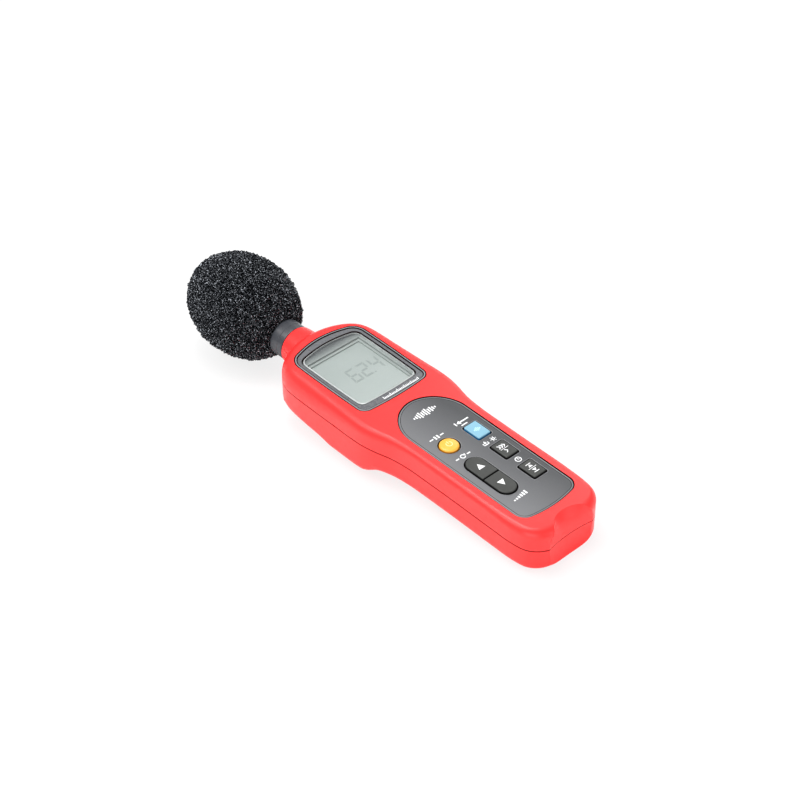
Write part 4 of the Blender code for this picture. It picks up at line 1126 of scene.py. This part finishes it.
# ---------------------------------------------------------------- microphone end
# lathe profiles: radius, y
COLLAR = [(BORE_R, 64.0), (8.7, 64.0), (8.7, 81.5), (10.3, 81.6), (10.75, 81.8), (10.9, 82.2),
          (10.9, 85.3), (10.72, 85.45), (10.72, 85.75), (10.9, 85.9), (10.9, 90.9),
          (10.8, 91.35), (10.4, 91.6), (7.2, 91.6), (BORE_R, 91.2)]
TUBE = [(5.2, 66.0), (MIC_R, 66.0), (MIC_R, 96.0), (6.2, 96.15), (6.2, 96.6), (MIC_R, 96.75),
        (MIC_R, 111.8), (6.2, 112.0), (5.2, 112.0)]
GRID_CAP = [(0, 112.3), (MIC_R, 112.3), (MIC_R, 113.4), (6.1, 113.85), (5.7, 114.0),
            (0, 114.0)]
collar = turned("collar_ring", COLLAR, "collar_grey", steps=120)
register(collar, replaces="mic_collar")
register(turned("mic_barrel", TUBE, "mic_steel"), replaces="mic_tube")
grid = turned("mic_grid_cap", GRID_CAP, "mic_steel")
for tag, radius, count in (("1_6", 1.6, 6), ("3_3", 3.3, 12), ("4_8", 4.8, 18)):
    for i in range(count):
        a = 2 * math.pi * i / count
        cut(grid, turned(f"grid_{tag}_{i}", rod(0.45, 111, 116), steps=14,
                         at=(radius * math.cos(a), 0, AXIS_Z + radius * math.sin(a))))
bake(grid, 35)
register(grid, replaces="mic_grille")


# ---------------------------------------------------------------- foam windscreen
def foam_profile(step=0.34):
    """Stations from the bore's closed end to the +Y tip: radius, y, normal across and along y,
    z of the centre."""
    profile = [(r, 115.0, 0, -1, AXIS_Z) for r in np.arange(0.0, BORE_R - 0.3, 0.8)]
    profile += [(BORE_R, y, -1, 0, AXIS_Z) for y in np.arange(114.6, FOAM_CUT_Y + 0.5, -0.8)]
    cut_angle = math.acos((FOAM_CUT_Y - FOAM_Y) / FOAM_L)
    rim = FOAM_R * math.sin(cut_angle)
    # the flat end leads from the bore's axis to the ball's
    profile += [(r, FOAM_CUT_Y, 0, -1,
                 AXIS_Z + (FOAM_Z - AXIS_Z) * (r - BORE_R) / (rim - BORE_R))
                for r in np.arange(BORE_R + 0.25, rim - 0.15, step)]
    fine = np.array([(FOAM_R * math.sin(t), FOAM_Y + FOAM_L * math.cos(t))
                     for t in np.linspace(cut_angle, 0, 4000)])
    run = np.cumsum(gaps(fine))
    for r, y in resample(fine, run, int(run[-1] / step) + 1):
        normal = np.array([r / FOAM_R ** 2, (y - FOAM_Y) / FOAM_L ** 2])
        normal /= np.linalg.norm(normal)
        profile.append((r, y, *normal, FOAM_Z))
    return profile


def ease(value):
    value = min(max(value, 0.0), 1.0)
    return value * value * (3 - 2 * value)


def foam_windscreen(around=520, pore=1.55):
    """Lathe grid with cell pits sunk into the foam; the strut attribute marks the ridges."""
    angles = np.linspace(0, 2 * math.pi, around, endpoint=False)
    cosines, sines = np.cos(angles), np.sin(angles)
    points, normals, rows = [], [], []
    for r, y, across, along, mid_z in foam_profile():
        if r < 0.02:
            rows.append([len(points)] * around)
            points.append((0, y, mid_z))
            normals.append((0, along, 0))
            continue
        rows.append(range(len(points), len(points) + around))
        points += zip(r * cosines, np.full(around, y), mid_z + r * sines)
        normals += zip(across * cosines, np.full(around, along), across * sines)
    points, normals = np.array(points), np.array(normals)
    faces = []
    for low, high in zip(rows, rows[1:]):
        for i in range(around):
            j = (i + 1) % around
            if low[i] == low[j]:
                faces.append((low[0], high[j], high[i]))
            elif high[i] == high[j]:
                faces.append((low[i], low[j], high[0]))
            else:
                faces.append((low[i], low[j], high[j], high[i]))

    strut, depth = np.zeros(len(points)), np.zeros(len(points))
    for i, p in enumerate(points):
        near, cells = noise.voronoi(Vector(p / pore), distance_metric='DISTANCE', exponent=2.5)
        wall = ease((near[1] - near[0]) / 0.42)
        edge = ease((near[2] - near[0]) / 0.55)
        cell = cells[0]         # each cell has its own depth, hashed from its place
        own = (math.sin(cell[0] * 12.9898 + cell[1] * 78.233 + cell[2] * 37.719)
               * 43758.5453) % 1.0
        strut[i] = 1.0 - 0.62 * wall - 0.38 * edge
        depth[i] = wall * (0.8 + 1.1 * own) + edge * 0.5 + 0.35 * own * (1 - wall) - 0.2
    lump = np.array([noise.noise(Vector(p * 0.09)) * 0.3 + noise.noise(Vector(p * 0.52)) * 1.15
                     for p in points])
    # the bore keeps shallow pits and no lumps
    outer = np.hypot(points[:, 0], points[:, 2] - AXIS_Z) > BORE_R + 0.1
    sunk = np.where(outer, depth, depth * 0.4) - np.where(outer, lump, 0)
    points = points - normals * sunk[:, None]

    mesh = bpy.data.meshes.new("foam_ball")
    mesh.from_pydata([tuple(p) for p in points * MM], [], faces)
    mesh.validate()
    attribute = mesh.attributes.new("strut", 'FLOAT', 'POINT')
    attribute.data.foreach_set("value", strut.astype(np.float32))
    bm = bmesh.new()
    bm.from_mesh(mesh)
    ob = new_object("foam_ball", close_mesh(bm, mesh), "foam_black")
    mesh.shade_smooth()
    register(ob, "windscreen", "foam_windscreen")


foam_windscreen()

# ---------------------------------------------------------------- screws and tripod bush
for i, (x, y, _, back) in enumerate(SCREWS):
    profile = [(0, back + 0.35)]
    profile += [(2.35 * s, back + 0.75 - 0.4 * c) for c, s in map(cos_sin, (30, 60, 90))]
    profile += [(2.5, back + 0.95), (2.5, back + 1.8), (1.2, back + 1.8), (1.2, 20.0),
                (0.7, 21.0), (0, 21.0)]
    screw = turned(f"screw_head_{i + 1}", profile, "screw_steel", along="Z", at=(x, y, 0),
                   steps=48)
    for tag, half_x, half_y in (("a", 1.4, 0.28), ("b", 0.28, 1.4)):
        cut(screw, box(f"cross_{tag}_{i}", x - half_x, x + half_x, y - half_y, y + half_y,
                       2, back + 1.2))
    bake(screw, 35)
    register(screw, replaces=f"case_screw_{i + 1}")

bush = [(3.2, 0.9), (3.7, 0.4), (4.2, 0.4), (4.5, 0.7), (4.5, 9.3), (4.2, 9.6), (3.2, 9.6)]
z = 9.2
while z > 1.4:          # thread, as turned grooves
    bush += [(3.2, z), (3.55, z - 0.3), (3.55, z - 0.4), (3.2, z - 0.7)]
    z -= 0.9
insert = turned("tripod_insert", bush, "brass", along="Z", at=(0, BUSH_Y, 0), steps=72, sharp=25)
register(insert, replaces="tripod_bush")

# ---------------------------------------------------------------- CAD nodes that stay
KEPT = {"main_board": "board_green", "processor": "black_plastic", "lcd_glass": "lcd_reflector",
        "lcd_frame": "lcd_frame_grey", "light_guide": "light_guide",
        "zebra_strip": "zebra_rubber", "cal_trimmer_body": "trimmer_blue",
        "cal_trimmer_rotor": "brass", "mic_capsule": "mic_steel", "mic_cable": "black_plastic"}


def kept_finish(name):
    if name in KEPT:
        return KEPT[name]
    if name.startswith("battery_cell"):
        return "cell_sleeve"
    if name.startswith(("contact_", "battery_spring")):
        return "nickel_plate"
    return "black_plastic" if name.endswith(("_switch", "_plunger")) else None


for name, ob in frame["nodes"].items():
    finish = kept_finish(name)
    if finish:
        ob.data.materials.clear()
        ob.data.materials.append(MATERIALS[finish])

# ---------------------------------------------------------------- floor
scene = bpy.context.scene
for tool in TOOLS.objects:
    tool.hide_viewport = True


def floor_look():
    """White floor, partly self-lit for the camera, which sees through it from below."""
    look = Look("floor_white")
    cloud = look.remap(look.noise(scale=6.0, detail=2.0), span=MID)
    look.surface({"Base Color": look.mix(cloud, (0.90, 0.90, 0.90), (0.92, 0.92, 0.92)),
                  "Roughness": 0.9, "Specular IOR Level": 0.1})
    glow = look.add("Emission", {"Strength": 1.0})
    camera_ray = look.add("LightPath").outputs["Is Camera Ray"]
    lit = look.add("MixShader", {0: look.remap(camera_ray, to=(0.0, 0.80)),
                                 1: look.shader.outputs[0], 2: glow.outputs[0]})
    backface = look.add("NewGeometry").outputs["Backfacing"]
    look.output(look.add("MixShader", {0: look.calc('MULTIPLY', backface, camera_ray),
                                       1: lit.outputs[0],
                                       2: look.add("BsdfTransparent").outputs[0]}))


# the floor slopes from under the case's -Y end to under the foam: y, z in mm
CASE_REST, FOAM_REST = (-128.0, 5.1), (127.0, -12.6)
bm = bmesh.new()
bmesh.ops.create_grid(bm, x_segments=2, y_segments=2, size=4.0)
mesh = bpy.data.meshes.new("floor")
bm.to_mesh(mesh)
bm.free()
floor = bpy.data.objects.new("floor", mesh)
scene.collection.objects.link(floor)
slope = math.atan((FOAM_REST[1] - CASE_REST[1]) / (FOAM_REST[0] - CASE_REST[0]))
floor.rotation_euler = (slope, 0, 0)
floor.location = (0, 0, (CASE_REST[1] - math.tan(slope) * CASE_REST[0]) * MM - 0.0001)
floor_look()
mesh.materials.append(MATERIALS["floor_white"])

# ---------------------------------------------------------------- world, lights, camera
world = bpy.data.worlds.new("studio")
scene.world = world
world.use_nodes = True
nodes, links = world.node_tree.nodes, world.node_tree.links
background = nodes["Background"]
background.inputs["Color"].default_value = (1.0, 1.0, 1.0, 1)
# strength: as a light, as seen by the camera
path, strength = nodes.new("ShaderNodeLightPath"), nodes.new("ShaderNodeMapRange")
strength.inputs["To Min"].default_value = 0.58
strength.inputs["To Max"].default_value = 1.05
links.new(path.outputs["Is Camera Ray"], strength.inputs["Value"])
links.new(strength.outputs["Result"], background.inputs["Strength"])


def aim(ob, location, direction):
    ob.location = location
    ob.rotation_euler = direction.to_track_quat('-Z', 'Y').to_euler()
    scene.collection.objects.link(ob)


# name, location, target, size, power
for name, location, target, size, power in (
        ("key_light", (-0.55, 0.55, 0.95), (0, 0.02, 0.02), 0.7, 5.5),
        ("fill_light", (-0.95, -0.55, 0.30), (0, -0.03, 0.02), 0.9, 6.5),
        ("end_light", (0.25, -1.1, 0.30), (0, -0.05, 0.02), 0.8, 2.4),
        ("top_light", (0.0, 0.22, 0.95), (0, 0.04, 0.03), 0.5, 6.0),
        ("rim_light", (0.75, 0.35, 0.55), (0, 0.05, 0.02), 0.5, 2.0)):
    light = bpy.data.lights.new(name, 'AREA')
    light.shape, light.size, light.energy = 'SQUARE', size, power
    lamp = bpy.data.objects.new(name, light)
    aim(lamp, location, Vector(target) - Vector(location))

lens = bpy.data.cameras.new("camera")
lens.lens, lens.sensor_width, lens.clip_start, lens.shift_x = 90.0, 36.0, 0.01, 0.0005
camera = bpy.data.objects.new("camera", lens)
aim(camera, (-0.5566, -0.6085, 0.7307), Vector((0.5157, 0.5588, -0.6494)))
scene.camera = camera
scene.view_settings.view_transform = 'Standard'
scene.view_settings.look = 'None'
scene.view_settings.exposure = 0.0

bpy.context.view_layer.update()
